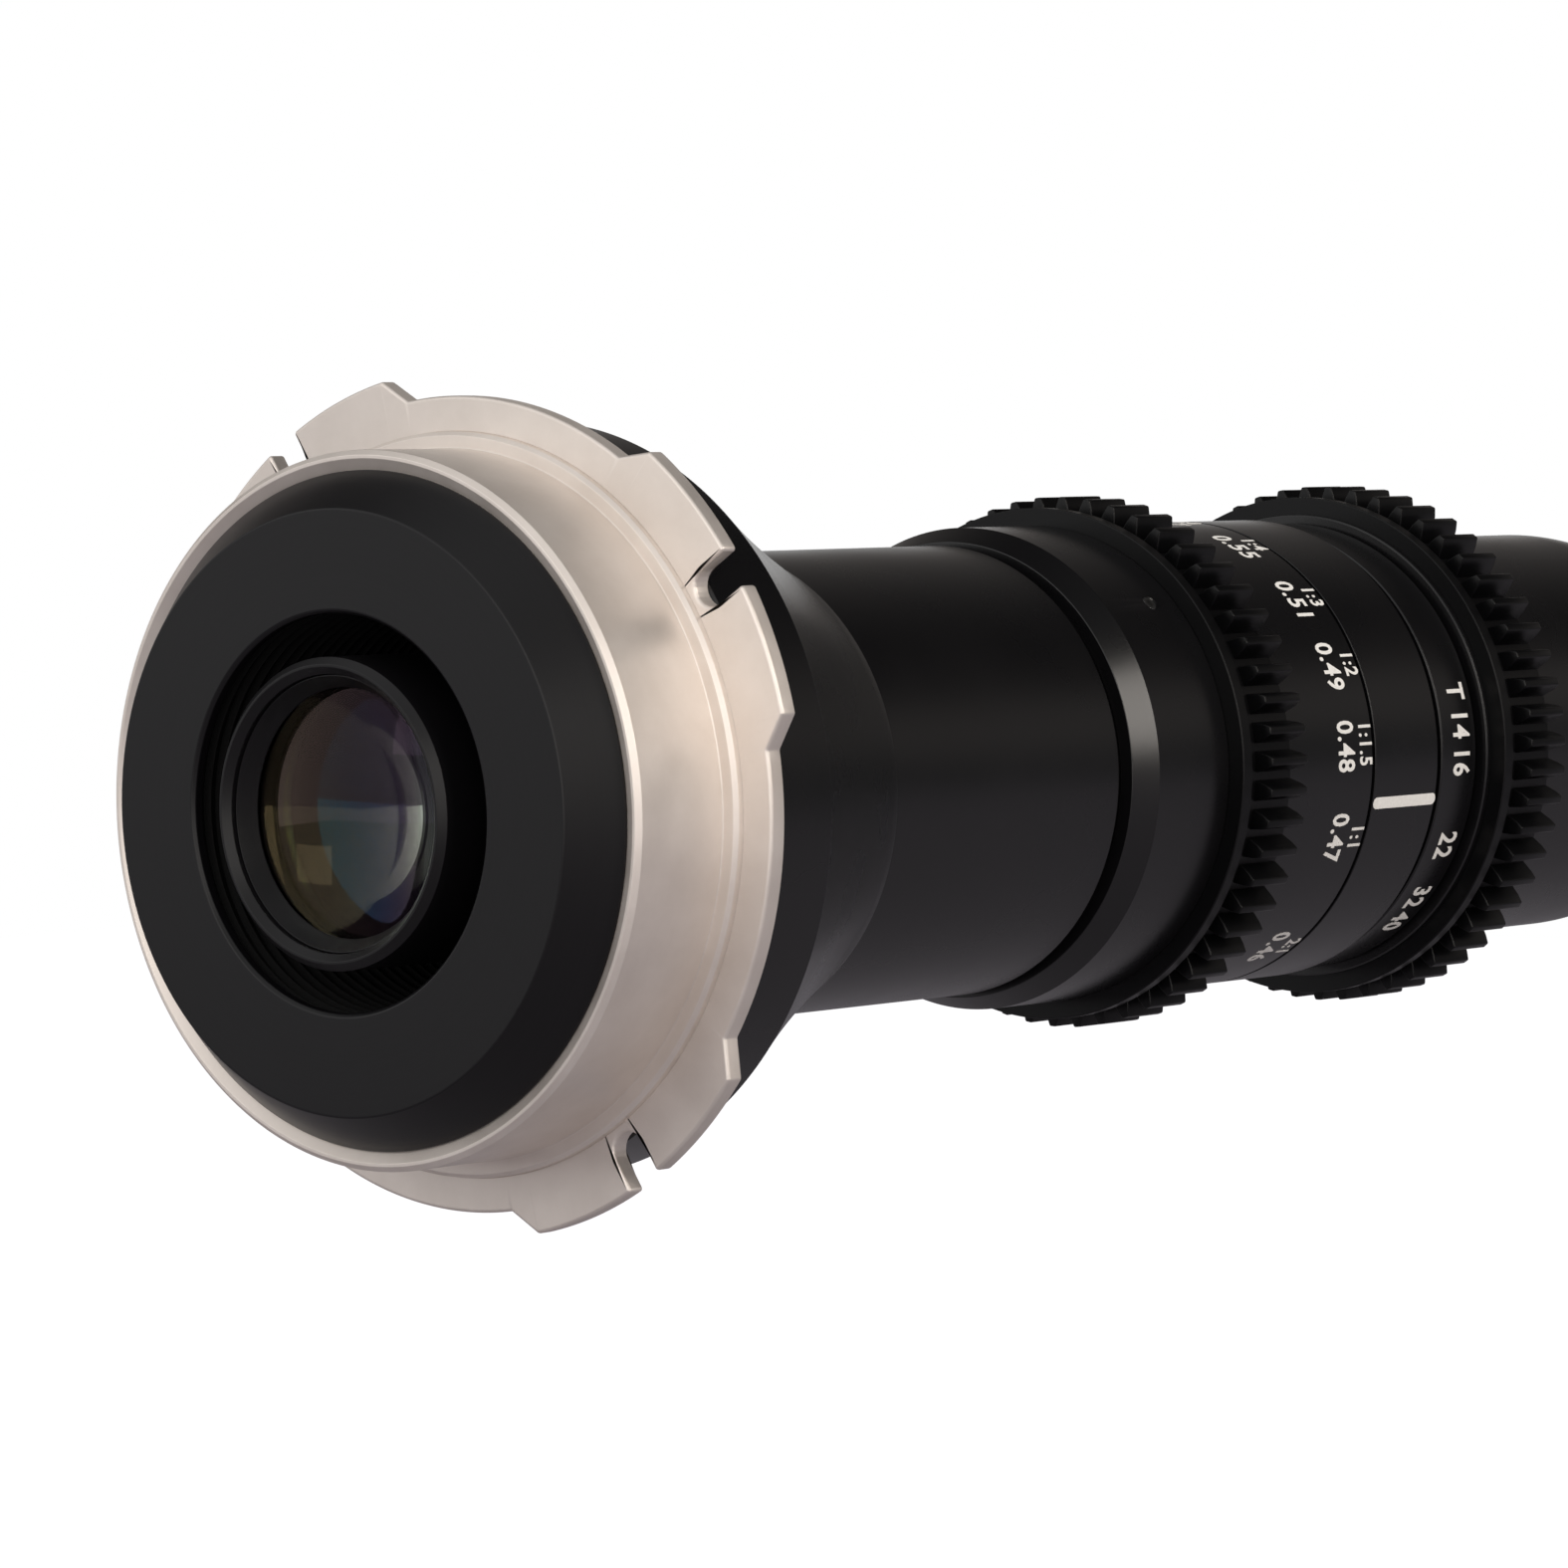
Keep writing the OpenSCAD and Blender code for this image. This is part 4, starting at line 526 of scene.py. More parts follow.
def rounded(points, radius=0.08, arc=3):
    """Points (a, b) to (a, b, facing a, facing b). An outline that starts on the axis is open."""
    on_axis = points[0][0] == 0
    turned = sum(p[0] * q[1] - q[0] * p[1] for p, q in zip(points, points[1:] + points[:1]))
    if turned < 0:
        points = points[::-1]
    made = []
    for i, (a, b) in enumerate(points):
        before, after = points[i - 1], points[(i + 1) % len(points)]
        if on_axis and i == 0:
            before = (-after[0], after[1])
        if on_axis and i == len(points) - 1:
            after = (-before[0], before[1])
        ua, ub = a - before[0], b - before[1]
        va, vb = after[0] - a, after[1] - b
        first, last = math.hypot(ua, ub), math.hypot(va, vb)
        ua, ub, va, vb = ua / first, ub / first, va / last, vb / last
        turn = math.atan2(ua * vb - ub * va, ua * va + ub * vb)
        if abs(turn) < gentle_turn:
            na, nb = ub + vb, -ua - va
            size = math.hypot(na, nb)
            made.append((a, b, na / size, nb / size))
            continue
        cut = min(radius * math.tan(abs(turn) / 2), longest_cut * first, longest_cut * last)
        bend = cut / math.tan(abs(turn) / 2)
        side = 1 if turn > 0 else -1
        ca, cb = a - ua * cut - ub * bend * side, b - ub * cut + ua * bend * side
        for k in range(arc + 1):
            share = turn * k / arc
            na = ub * math.cos(share) + ua * math.sin(share)
            nb = ub * math.sin(share) - ua * math.cos(share)
            made.append((ca + na * bend * side, cb + nb * bend * side, na, nb))
    return made


def new_piece(name, corners, faces, facing=None):
    mesh = bpy.data.meshes.new(name)
    mesh.from_pydata(corners, [], faces)
    mesh.polygons.foreach_set("use_smooth", [True] * len(mesh.polygons))
    if facing:
        mesh.normals_split_custom_set_from_vertices(facing)
    return put(name, mesh)


# %% Spin the outline
def lathe(name, outline, steps=256, radius=0.08, arc=3):
    """Outline in mm as (radius, y). Angle 0 is +X, and a positive turn goes down from there."""
    points = rounded(outline, radius, arc)
    turns = [(math.cos(math.tau * k / steps), math.sin(math.tau * k / steps)) for k in range(steps)]
    corners, facing, rows = [], [], []
    for r, y, nr, ny in points:
        if r < 1e-6:
            rows.append([len(corners)] * steps)
            corners.append((0, y / 1000, 0))
            facing.append((0, 1 if ny > 0 else -1, 0))
            continue
        rows.append(range(len(corners), len(corners) + steps))
        corners += [(r * c / 1000, y / 1000, -r * s / 1000) for c, s in turns]
        facing += [(nr * c, ny, -nr * s) for c, s in turns]
    closed = outline[0][0] != 0
    faces = []
    for low, high in zip(rows, rows[1:] + ([rows[0]] if closed else [])):
        for k in range(steps):
            n = (k + 1) % steps
            faces.append(list(dict.fromkeys((low[k], low[n], high[n], high[k]))))
    return new_piece(name + "_turned", corners, faces, facing)


def fit(piece, finish, body, slot, *nodes):
    piece.data.materials.clear()
    piece.data.materials.append(finishes[finish])
    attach(piece, body)
    if nodes:
        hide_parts(*nodes)
    print(piece.name, "faces", len(piece.data.polygons))


print("rounded square:", len(rounded([(1, 0), (2, 0), (2, 1), (1, 1)])), "points")

# %% [markdown]
# ## Mount ring
#
# The mount is one turned brass part: a pilot tube that enters the camera, a narrow raised
# seat ring, and a flange whose rim is milled into four tabs with a notch in each. A lathe
# can't make the rim, so the flange is a plate from its outline, lofted from the front
# edge to the back, and the turned part runs through its middle.

# %% Turn the pilot and the seat
clearance = 0.02
_, pilot_end, flange_t = ends("mount_ring")
guard_r, guard_face_y, guard_end = ends("rear_guard_ring")
pilot_r, pilot_bore_r, pilot_chamfer, pilot_lip, shoulder_y = 27.0, 24.6, 0.4, 0.65, pilot_end + 0.5
web_bore_r, web_y = 17.6, -1.4
seat_r, seat_y, seat_edge = 28.3, -0.8, 0.3
core_r, core_start, core_end = seat_r + 0.3, 0.06, flange_t - 0.05
mount = lathe("mount_ring", [
    (web_bore_r, web_y), (pilot_bore_r, web_y), (pilot_bore_r, shoulder_y),
    (guard_r + clearance, shoulder_y), (pilot_r - pilot_lip, pilot_end),
    (pilot_r - pilot_chamfer, pilot_end), (pilot_r, pilot_end + pilot_chamfer), (pilot_r, seat_y),
    (seat_r - seat_edge, seat_y), (seat_r, seat_y + seat_edge), (seat_r, core_start),
    (core_r, core_start), (core_r, core_end), (web_bore_r, core_end)], radius=0.12)
print("pilot", 2 * pilot_r, "mm across")

# %% Outline of the flange's rim
tab_r, scallop_r, notch_half, notch_floor = 33.0, 31.0, 1.5, 30.4
scallop_mid, scallop_half, tab_start, notch_mid, tab_end = 13, 20.5, 37.7, 58, 78.3
scallop_steps, tab_steps, notch_step = 30, 14, 15


def arc_points(r, start, end, steps):
    return [(r * math.cos(math.radians(start + (end - start) * i / steps)),
             r * math.sin(math.radians(start + (end - start) * i / steps)))
            for i in range(steps + 1)]


rim = []
notch_foot = math.degrees(math.asin(notch_half / tab_r))
for base in range(0, 360, 90):
    middle = base + scallop_mid
    rim += arc_points(scallop_r, middle - scallop_half, middle + scallop_half, scallop_steps)
    rim += arc_points(tab_r, base + tab_start, base + notch_mid - notch_foot, tab_steps)
    facing = math.radians(base + notch_mid)
    along, out = (-math.sin(facing), math.cos(facing)), (math.cos(facing), math.sin(facing))
    for turn in range(0, 181, notch_step):
        side = -notch_half * math.cos(math.radians(turn))
        deep = notch_floor - notch_half * math.sin(math.radians(turn))
        rim.append((along[0] * side + out[0] * deep, along[1] * side + out[1] * deep))
    rim += arc_points(tab_r, base + notch_mid + notch_foot, base + tab_end, tab_steps)
print("rim points:", len(rim))

# %% Loft the flange from its rim
outline = rounded(rim, radius=0.35, arc=4)
corners, faces = [], []
edge, inner_r, bends = 0.28, seat_r + 0.05, (0, 0.52, 1.05, math.pi / 2)
loops = [(None, 0.0)]
loops += [(edge * (1 - math.sin(a)), edge * (1 - math.cos(a))) for a in bends]
loops += [(edge * (1 - math.cos(a)), flange_t - edge * (1 - math.sin(a))) for a in bends]
loops += [(None, flange_t)]
for inset, y in loops:
    for a, b, na, nb in outline:
        if inset is None:
            size = inner_r / math.hypot(a, b)
            corners.append((a * size / 1000, y / 1000, -b * size / 1000))
        else:
            corners.append(((a - na * inset) / 1000, y / 1000, -(b - nb * inset) / 1000))
count = len(outline)
for row in range(len(loops)):
    low, high = row * count, (row + 1) % len(loops) * count
    faces += [(low + k, low + (k + 1) % count, high + (k + 1) % count, high + k)
              for k in range(count)]
flange = new_piece("mount_flange", corners, faces)
bpy.context.view_layer.update()
shell = bmesh.new()
shell.from_mesh(flange.data)
bmesh.ops.recalc_face_normals(shell, faces=shell.faces)
shell.to_mesh(flange.data)
shell.free()
flange.data.set_sharp_from_angle(angle=math.radians(32))
print("flange spans", round(2 * max(math.hypot(a, b) for a, b, _, _ in outline), 1), "mm")

# %% [markdown]
# The flange gets weighted normals, so that its flat faces win over its rounded rim. It stays
# an object of its own, because its neighbours are turned and carry exact normals.

# %% Finish the mount
def plain_mesh(thing):
    """Replaces the object's mesh by the result of its modifiers and takes them off."""
    ready = bpy.context.evaluated_depsgraph_get()
    result = bpy.data.meshes.new_from_object(thing.evaluated_get(ready))
    thing.modifiers.clear()
    thing.data = result
    return thing


weigh = flange.modifiers.new("flat_faces_first", "WEIGHTED_NORMAL")
weigh.keep_sharp = True
plain_mesh(flange)
fit(mount, "mount_nickel", "lens_barrel", "mount_nickel", "mount_ring")
fit(flange, "mount_nickel", "lens_barrel", "mount_nickel", "mount_ring")

# %% [markdown]
# ## Black guard ring, well and baffle
#
# A black ring is screwed into the pilot. Its flat face runs in to a deep well, which keeps
# stray light off the glass, and its outer edge is a wide bevel. Down the well is a light
# trap of 24 fine grooves, which shows as faint rings. All three are lathe work.

# %% Turn the guard ring
trap_r, trap_start, trap_end = ends("rear_baffle")
well_r, well_edge, bevel_w, guard_rim = 14.9, 0.275, 2.85, 0.2
guard_thread_r, trap_bore_r = pilot_bore_r - clearance, trap_r + clearance
guard = lathe("rear_guard_ring", [
    (well_r + well_edge, guard_face_y), (guard_r - bevel_w, guard_face_y),
    (guard_r, shoulder_y - guard_rim), (guard_r, shoulder_y), (guard_thread_r, shoulder_y),
    (guard_thread_r, guard_end), (trap_bore_r, guard_end), (trap_bore_r, trap_start),
    (well_r, trap_start), (well_r, guard_face_y + well_edge)], radius=0.25, arc=4)
fit(guard, "black_turned", "lens_barrel", "black_anodised", "rear_guard_ring")

# %% Cut the light trap
groove_pitch, grooves, groove_share, crest_r, floor_r, trap_lip = 1.2, 24, 0.75, 15.3, 15.8, 0.1
trap = [(trap_r, trap_start), (trap_r, trap_end), (floor_r + trap_lip, trap_end)]
for i in reversed(range(grooves)):
    trap += [(floor_r, trap_start + (i + groove_share) * groove_pitch),
             (crest_r, trap_start + i * groove_pitch)]
baffle = lathe("rear_baffle", trap, steps=192, radius=0.03, arc=1)
fit(baffle, "baffle_black", "lens_barrel", "baffle_black", "rear_baffle")

# %% [markdown]
# ## Rear cell and its glass
#
# The rear group sits in a plain black cell, with a threaded retaining ring that has a
# conical inner face. The glass itself is a lathe outline too: a rim, and a spherical cap
# on each side. The caps are drawn from their real sagitta, so they reflect the boxes as
# small curved arcs, as the photograph shows.

# %% Turn the cell and its ring
cell_r, cell_start, cell_end = ends("rear_lens_cell")
lens_r, spacer_start, spacer_end = ends("rear_spacer_ring")
lens_seat_y = ends("rear_second_lens")[2]
cell_bore_r, cell_edge, cell_stop_r = lens_r + clearance, 0.55, 8.98
cell = lathe("rear_lens_cell", [
    (cell_bore_r + cell_edge, cell_start), (cell_r - cell_edge, cell_start),
    (cell_r, cell_start + cell_edge), (cell_r, cell_end), (cell_stop_r, cell_end),
    (cell_stop_r, lens_seat_y), (cell_bore_r, lens_seat_y), (cell_bore_r, cell_start + cell_edge)],
    radius=0.1)
fit(cell, "black_turned", "lens_barrel", "black_anodised", "rear_lens_cell")
keeper_r, keeper_start, keeper_end = ends("rear_retaining_ring")
clear_r, keeper_edge, keeper_lip, keeper_rim = 9.38, 0.15, 0.1, 0.11
keeper = lathe("rear_retaining_ring", [
    (keeper_r, keeper_start), (keeper_r, keeper_end), (clear_r + 2 * keeper_edge, keeper_end),
    (clear_r, keeper_end - keeper_edge), (clear_r, keeper_end - keeper_edge - keeper_lip),
    (keeper_r - keeper_rim, keeper_start)], radius=0.04)
fit(keeper, "black_turned", "lens_barrel", slot_of["rear_retaining_ring"], "rear_retaining_ring")

# %% Grind a lens
rim_w, cap_steps = 0.7, 24


def ground(name, r, rear_y, front_y, rear_bulge, front_bulge, finish="coated_glass"):
    """A lens with its rim from rear_y to front_y. A negative bulge is hollow."""
    clear = r - rim_w

    def cap(y, bulge, away):
        ball = (clear ** 2 + bulge ** 2) / (2 * abs(bulge))
        made = []
        for i in range(cap_steps + 1):
            reach = clear * i / cap_steps
            drop = ball - math.sqrt(ball ** 2 - reach ** 2)
            made.append((reach, y + away * (abs(bulge) - drop) * (1 if bulge > 0 else -1)))
        return made

    outline = cap(rear_y, rear_bulge, -1) + [(r, rear_y), (r, front_y)]
    outline += cap(front_y, front_bulge, 1)[::-1]
    glass = lathe(name, outline, steps=160, radius=0.06, arc=2)
    glass.name = name + "_ground"
    fit(glass, finish, "lens_barrel", "coated_glass", name)


ground("rear_lens", lens_r, keeper_end, spacer_start, rear_bulge=1.4, front_bulge=0.98)
ground("rear_second_lens", lens_r, spacer_end, lens_seat_y, rear_bulge=0.7, front_bulge=-0.84,
       finish="green_coated_glass")

# %% [markdown]
# ## Mount cone and rear barrel
#
# The cone carries the mount on the barrel. Its side is very slightly hollow, and it ends in
# a small lip. The barrel is a plain tube.

# %% Turn the cone and the barrel
cone_r, cone_start, cone_end = ends("mount_cone")
barrel_r, barrel_start, barrel_end = ends("rear_barrel")
guide_r, guide_start, _ = ends("guide_barrel")
taper_start, taper_len, taper_fall, hollow, taper_steps = 9.3, 19.6, 9.88, 1.6, 24
side = [(cone_r - taper_fall * t - hollow * t * (1 - t), taper_start + taper_len * t)
        for t in [i / taper_steps for i in range(taper_steps + 1)]]
cone_edge, cone_lip_r, cone_bore_r = 0.32, 18.9, barrel_r + clearance
cone = lathe("mount_cone", [
    (web_bore_r, cone_start + clearance), (cone_r - cone_edge, cone_start + clearance),
    (cone_r, cone_start + cone_edge)] + side + [
    (cone_lip_r, cone_end), (cone_bore_r, cone_end), (cone_bore_r, barrel_start),
    (web_bore_r, barrel_start)], radius=0.15)
fit(cone, "black_anodised", "lens_barrel", "black_anodised", "mount_cone")
barrel_chamfer, guide_bore_r = 0.294, guide_r + clearance
tube = lathe("rear_barrel", [
    (trap_bore_r, barrel_start), (barrel_r, barrel_start), (barrel_r, barrel_end - barrel_chamfer),
    (barrel_r - barrel_chamfer, barrel_end), (guide_bore_r, barrel_end), (guide_bore_r, guide_start),
    (trap_bore_r, guide_start)])
fit(tube, "black_anodised", "lens_barrel", "black_anodised", "rear_barrel")

# %% [markdown]
# ## Focus ring
#
# The turning ring is a sleeve with a wide bevel at its camera end, a gear for a follow-focus
# drive, and the distance scale. Three grub screws hold the sleeve on the cam. Their holes
# are cut with a Boolean, and weighted normals then keep the cylinder's shading clean.

# %% Copies round the axis, as a Geometry Nodes tree
tree = bpy.data.node_groups.new("copies_round_the_axis", "GeometryNodeTree")
tree.is_modifier = True
face = tree.interface
face.new_socket("Geometry", in_out="INPUT", socket_type="NodeSocketGeometry")
sockets = {}
for label, kind in [("Copies", "NodeSocketInt"), ("First Angle", "NodeSocketFloat"),
                    ("Step Angle", "NodeSocketFloat"), ("Finish", "NodeSocketMaterial")]:
    sockets[label] = face.new_socket(label, in_out="INPUT", socket_type=kind).identifier
face.new_socket("Geometry", in_out="OUTPUT", socket_type="NodeSocketGeometry")
given = add(tree, "NodeGroupInput")
dots = add(tree, "GeometryNodePoints", inputs={"Count": given.outputs["Copies"]})
number = add(tree, "GeometryNodeInputIndex")
turn = add(tree, "ShaderNodeMath", {"operation": "MULTIPLY_ADD"}, {
    0: number.outputs[0], 1: given.outputs["Step Angle"], 2: given.outputs["First Angle"]})
spin = add(tree, "FunctionNodeAxisAngleToRotation", inputs={
    "Axis": (0, 1, 0), "Angle": turn.outputs[0]})
copies = add(tree, "GeometryNodeInstanceOnPoints", inputs={
    "Points": dots.outputs[0], "Instance": given.outputs["Geometry"], "Rotation": spin.outputs[0]})
real = add(tree, "GeometryNodeRealizeInstances", inputs={0: copies.outputs[0]})
painted = add(tree, "GeometryNodeSetMaterial", inputs={
    "Geometry": real.outputs[0], "Material": given.outputs["Finish"]})
add(tree, "NodeGroupOutput", inputs={0: painted.outputs[0]})
round_axis = tree


def repeat(piece, number, first, step, finish):
    """Copies the piece's mesh round the axis. Angles are in degrees."""
    maker = piece.modifiers.new("copies", "NODES")
    maker.node_group = round_axis
    maker[sockets["Copies"]] = number
    maker[sockets["First Angle"]] = math.radians(first)
    maker[sockets["Step Angle"]] = math.radians(step)
    maker[sockets["Finish"]] = finishes[finish]
    return plain_mesh(piece)


print("tree nodes:", len(round_axis.nodes))

# %% Skin loops of corners, and keep the result as a piece
def skin(shell, loops):
    """Walls between the loops, and a cap on each end. Loops of unlike counts are bridged."""
    for low, high in zip(loops, loops[1:]):
        if len(low) == len(high):
            for k in range(len(low)):
                shell.faces.new((low[k], low[k - 1], high[k - 1], high[k]))
        else:
            edges = [shell.edges.get((ring[k], ring[k - 1])) or shell.edges.new((ring[k], ring[k - 1]))
                     for ring in (low, high) for k in range(len(ring))]
            bmesh.ops.bridge_loops(shell, edges=edges)
    shell.faces.new(loops[0])
    shell.faces.new(loops[-1])
    bmesh.ops.recalc_face_normals(shell, faces=shell.faces)


def shell_piece(name, shell, smooth=False):
    mesh = bpy.data.meshes.new(name)
    shell.to_mesh(mesh)
    shell.free()
    if smooth:
        mesh.polygons.foreach_set("use_smooth", [True] * len(mesh.polygons))
        mesh.set_sharp_from_angle(angle=math.radians(35))
    return put(name, mesh)


# %% Grub screws and the holes they sit in
def peg(name, r, inner, outer, y, sides=40, socket_r=0.0, socket_depth=0.5, bevel=0.08):
    """A round peg that points out along +X, with a six-sided socket in its end if asked."""
    rings = [(r, inner, sides), (r, outer - bevel, sides), (r - bevel, outer, sides)]
    if socket_r:
        rings += [(socket_r, outer, 6), (socket_r, outer - socket_depth, 6)]
    shell = bmesh.new()
    loops = [[shell.verts.new((
        reach / 1000, (y + radius * math.cos(math.tau * k / n)) / 1000,
        radius * math.sin(math.tau * k / n) / 1000)) for k in range(n)] for radius, reach, n in rings]
    skin(shell, loops)
    return shell_piece(name, shell, smooth=True)


def drilled(piece, cutter):
    cut = piece.modifiers.new("holes", "BOOLEAN")
    cut.operation, cut.object, cut.solver = "DIFFERENCE", cutter, "EXACT"
    weigh = piece.modifiers.new("flat_faces_first", "WEIGHTED_NORMAL")
    weigh.keep_sharp = True
    plain_mesh(piece)
    bpy.data.objects.remove(cutter)


# %% Turn the sleeve and set its screws
sleeve_r, sleeve_start, sleeve_end = ends("focus_sleeve")
sleeve_bevel_w, sleeve_bevel_len = 1.15, 2.2
gear_start = ends("focus_gear")[1]
sleeve_bore_r, gear_seat_r = ends("cam_barrel")[0] + clearance, 19.1
sleeve = lathe("focus_sleeve", [
    (sleeve_bore_r, sleeve_start), (sleeve_r - sleeve_bevel_w, sleeve_start),
    (sleeve_r, sleeve_start + sleeve_bevel_len), (sleeve_r, gear_start), (gear_seat_r, gear_start),
    (gear_seat_r, sleeve_end), (sleeve_bore_r, sleeve_end)], radius=0.1)
_, screw_low, screw_high = ends("sleeve_screws")
screw_y, screw_r = (screw_low + screw_high) / 2, (screw_high - screw_low) / 2
screw_inner_r, screw_outer_r, screw_socket_r = 18.9, 19.93, 0.36
hole_gap, hole_inner_r, hole_outer_r = 0.05, 19.0, 20.6
# How many screws, the angle of the first and the step to the next
sleeve_row = (3, -42, 120)
holes = repeat(peg("holes", screw_r + hole_gap, hole_inner_r, hole_outer_r, screw_y),
               *sleeve_row, "black_anodised")
drilled(sleeve, holes)
fit(sleeve, "black_anodised", "focus_ring", "black_anodised", "focus_sleeve")
grubs = repeat(peg("sleeve_grub_screws", screw_r, screw_inner_r, screw_outer_r, screw_y,
                   socket_r=screw_socket_r), *sleeve_row, "screw_steel")
fit(grubs, "screw_steel", "focus_ring", "screw_steel", "sleeve_screws")

# %% [markdown]
# ## Gears
#
# Both drive gears have 0.8 mm module teeth, the usual 2.25 modules deep, behind a lip and a
# deep groove. One tooth is made: four levels of radius, each narrower than the last,
# with its edges rounded so that its corners catch small lights. The tree above then copies
# it round the axis.

# %% One tooth
module, lip_t, lip_gap, tooth_edge, sharp_turn = 0.8, 1.2, 1.6, 120 * micron, 0.6


def tooth(name, y, end, teeth, tip_r, root_r):
    pitch, depth, start = math.tau / teeth, tip_r - root_r, y + lip_t + lip_gap
    levels = [(root_r - 0.3, 0.38), (root_r, 0.36), (root_r + 0.6 * depth, 0.24), (tip_r, 0.12)]
    shell = bmesh.new()
    rows = []
    for r, share in levels:
        half = share * pitch
        rows.append([shell.verts.new((r * math.cos(a) / 1000, b / 1000, -r * math.sin(a) / 1000))
                     for a, b in [(-half, start), (half, start), (half, end), (-half, end)]])
    skin(shell, rows)
    sharp = [e for e in shell.edges if e.calc_face_angle() > sharp_turn]
    bmesh.ops.bevel(shell, geom=sharp, offset=tooth_edge, segments=3, profile=0.5, affect="EDGES")
    return shell_piece(name, shell, smooth=True)


# %% Cut both gears
lip_edge, lip_sunk, tooth_depth = 0.08, 0.9, 2.25 * module
for name, teeth, body in [("focus_gear", 54, "focus_ring"), ("iris_gear", 55, "aperture_ring")]:
    _, y, end = ends(name)
    tip_r = module * (teeth + 2) / 2
    root_r, lip_r, bore_r = tip_r - tooth_depth, tip_r - lip_sunk, gear_seat_r + clearance
    band = lathe(name, [
        (bore_r, y), (lip_r - lip_edge, y), (lip_r, y + lip_edge), (lip_r, y + lip_t),
        (root_r, y + lip_t), (root_r, end), (bore_r, end)], radius=0.06)
    fit(band, "black_hobbed_painted_shade", body, "black_anodised", name)
    teeth_piece = repeat(tooth(name + "_teeth", y, end, teeth, tip_r, root_r), teeth, 0, 360 / teeth,
                         "black_hobbed_painted_shade")
    fit(teeth_piece, "black_hobbed_painted_shade", body, "black_anodised", name)

# %% [markdown]
# ## Scales
#
# The distance scale and the iris ring are plain cylinders with numbers. Blender's own font
# writes each number flat. The mesh is then narrowed, wrapped on the cylinder, and given the
# thickness of a coat of paint, 0.02 mm, so it needs no picture.

# %% Turn the distance scale
scale_r, scale_start, scale_end = ends("distance_scale")
scale_chamfer, scale_bore_r = 0.225, gear_seat_r + clearance
scale = lathe("distance_scale", [
    (scale_bore_r, scale_start), (scale_r, scale_start), (scale_r, scale_end - scale_chamfer),
    (scale_r - scale_chamfer, scale_end), (scale_bore_r, scale_end)], radius=0.06)
fit(scale, "black_anodised", "focus_ring", "black_anodised", "distance_scale")

# %% Write numbers round a cylinder
narrow, proud, sunk = 0.72, 0.02, 0.05


def numbers(name, words, r, body):
    """Words are (text, angle of the middle, y of the middle, height). They read down the side."""
    corners, faces = [], []
    for text, angle, y, high in words:
        letters = bpy.data.curves.new("letters", "FONT")
        letters.body, letters.align_x = text, "CENTER"
        letters.extrude, letters.offset, letters.resolution_u = 0.1, 0.022, 3
        letters.space_character = 1.12
        flat = put("letters", letters)
        ready = bpy.context.evaluated_depsgraph_get()
        mesh = bpy.data.meshes.new_from_object(flat.evaluated_get(ready))
        across = [v.co.x for v in mesh.vertices]
        tall = [v.co.y for v in mesh.vertices]
        size = high / (max(tall) - min(tall))
        mid_x, mid_y = (max(across) + min(across)) / 2, (max(tall) + min(tall)) / 2
        first = len(corners)
        for v in mesh.vertices:
            a = math.radians(angle) + (v.co.x - mid_x) * size * narrow / r
            reach = r + (proud if v.co.z > 0 else -sunk)
            corners.append((reach * math.cos(a) / 1000, (y + (v.co.y - mid_y) * size) / 1000,
                            -reach * math.sin(a) / 1000))
        faces += [[first + i for i in p.vertices] for p in mesh.polygons]
        bpy.data.objects.remove(flat)
        bpy.data.curves.remove(letters)
        bpy.data.meshes.remove(mesh)
    mesh = bpy.data.meshes.new(name)
    mesh.from_pydata(corners, [], faces)
    fit(put(name, mesh), "white_paint", body, "white_paint")


marks = [("1", "1:20", -105), ("0.7", "1:8", -84), ("0.55", "1:4", -63), ("0.51", "1:3", -41.5),
         ("0.49", "1:2", -22), ("0.48", "1:1.5", -2), ("0.47", "1:1", 20.7), ("0.46", "2:1", 55)]
near_y, near_high, ratio_y, ratio_high = 88.25, 2.4, 91.05, 1.8
words = [(near, angle, near_y, near_high) for near, _, angle in marks]
words += [(ratio, angle, ratio_y, ratio_high) for _, ratio, angle in marks]
numbers("distance_numbers", words, scale_r, "focus_ring")

# %% [markdown]
# ## Index ring and iris ring
#
# The fixed ring between the scales carries one white index line, which is a solid of its own
# and only needs its paint. Two pairs of grub screws hold the ring, out of the camera's sight.
# The iris ring has a narrow raised band with the stops, a groove, and the second gear.

# %% Turn the index ring
index_r, index_start, index_end = ends("index_ring")
rear_edge, index_edge = 0.05, 0.2
index_ring = lathe("index_ring", [
    (guide_bore_r, index_start), (index_r - rear_edge, index_start),
    (index_r, index_start + rear_edge), (index_r, index_end - index_edge),
    (index_r - index_edge, index_end), (guide_bore_r, index_end)], radius=0.05)
grub_r, grub_inner_r, grub_socket_r, grub_sunk = 0.8, 14.62, 0.4, 0.3
grub_hole_inner_r, grub_hole_outer_r = 17, 21
index_row, index_rows_y, barrel_row, barrel_row_y = (2, 150, 90), (93.816, 98.14), (3, 30, 120), 23.4
for row, y in enumerate(index_rows_y, 1):
    holes = repeat(peg("holes", grub_r + hole_gap, grub_hole_inner_r, grub_hole_outer_r, y),
                   *index_row, "black_anodised")
    drilled(index_ring, holes)
    grubs = repeat(peg("index_grub_screws_%d" % row, grub_r, grub_inner_r, index_r - grub_sunk, y,
                       socket_r=grub_socket_r), *index_row, "screw_steel")
    fit(grubs, "screw_steel", "lens_barrel", "screw_steel", "barrel_screws")
fit(index_ring, "black_anodised", "lens_barrel", "black_anodised", "index_ring")
grubs = repeat(peg("barrel_grub_screws", grub_r, grub_inner_r, barrel_r - clearance, barrel_row_y,
                   socket_r=grub_socket_r), *barrel_row, "screw_steel")
fit(grubs, "screw_steel", "lens_barrel", "screw_steel", "barrel_screws")

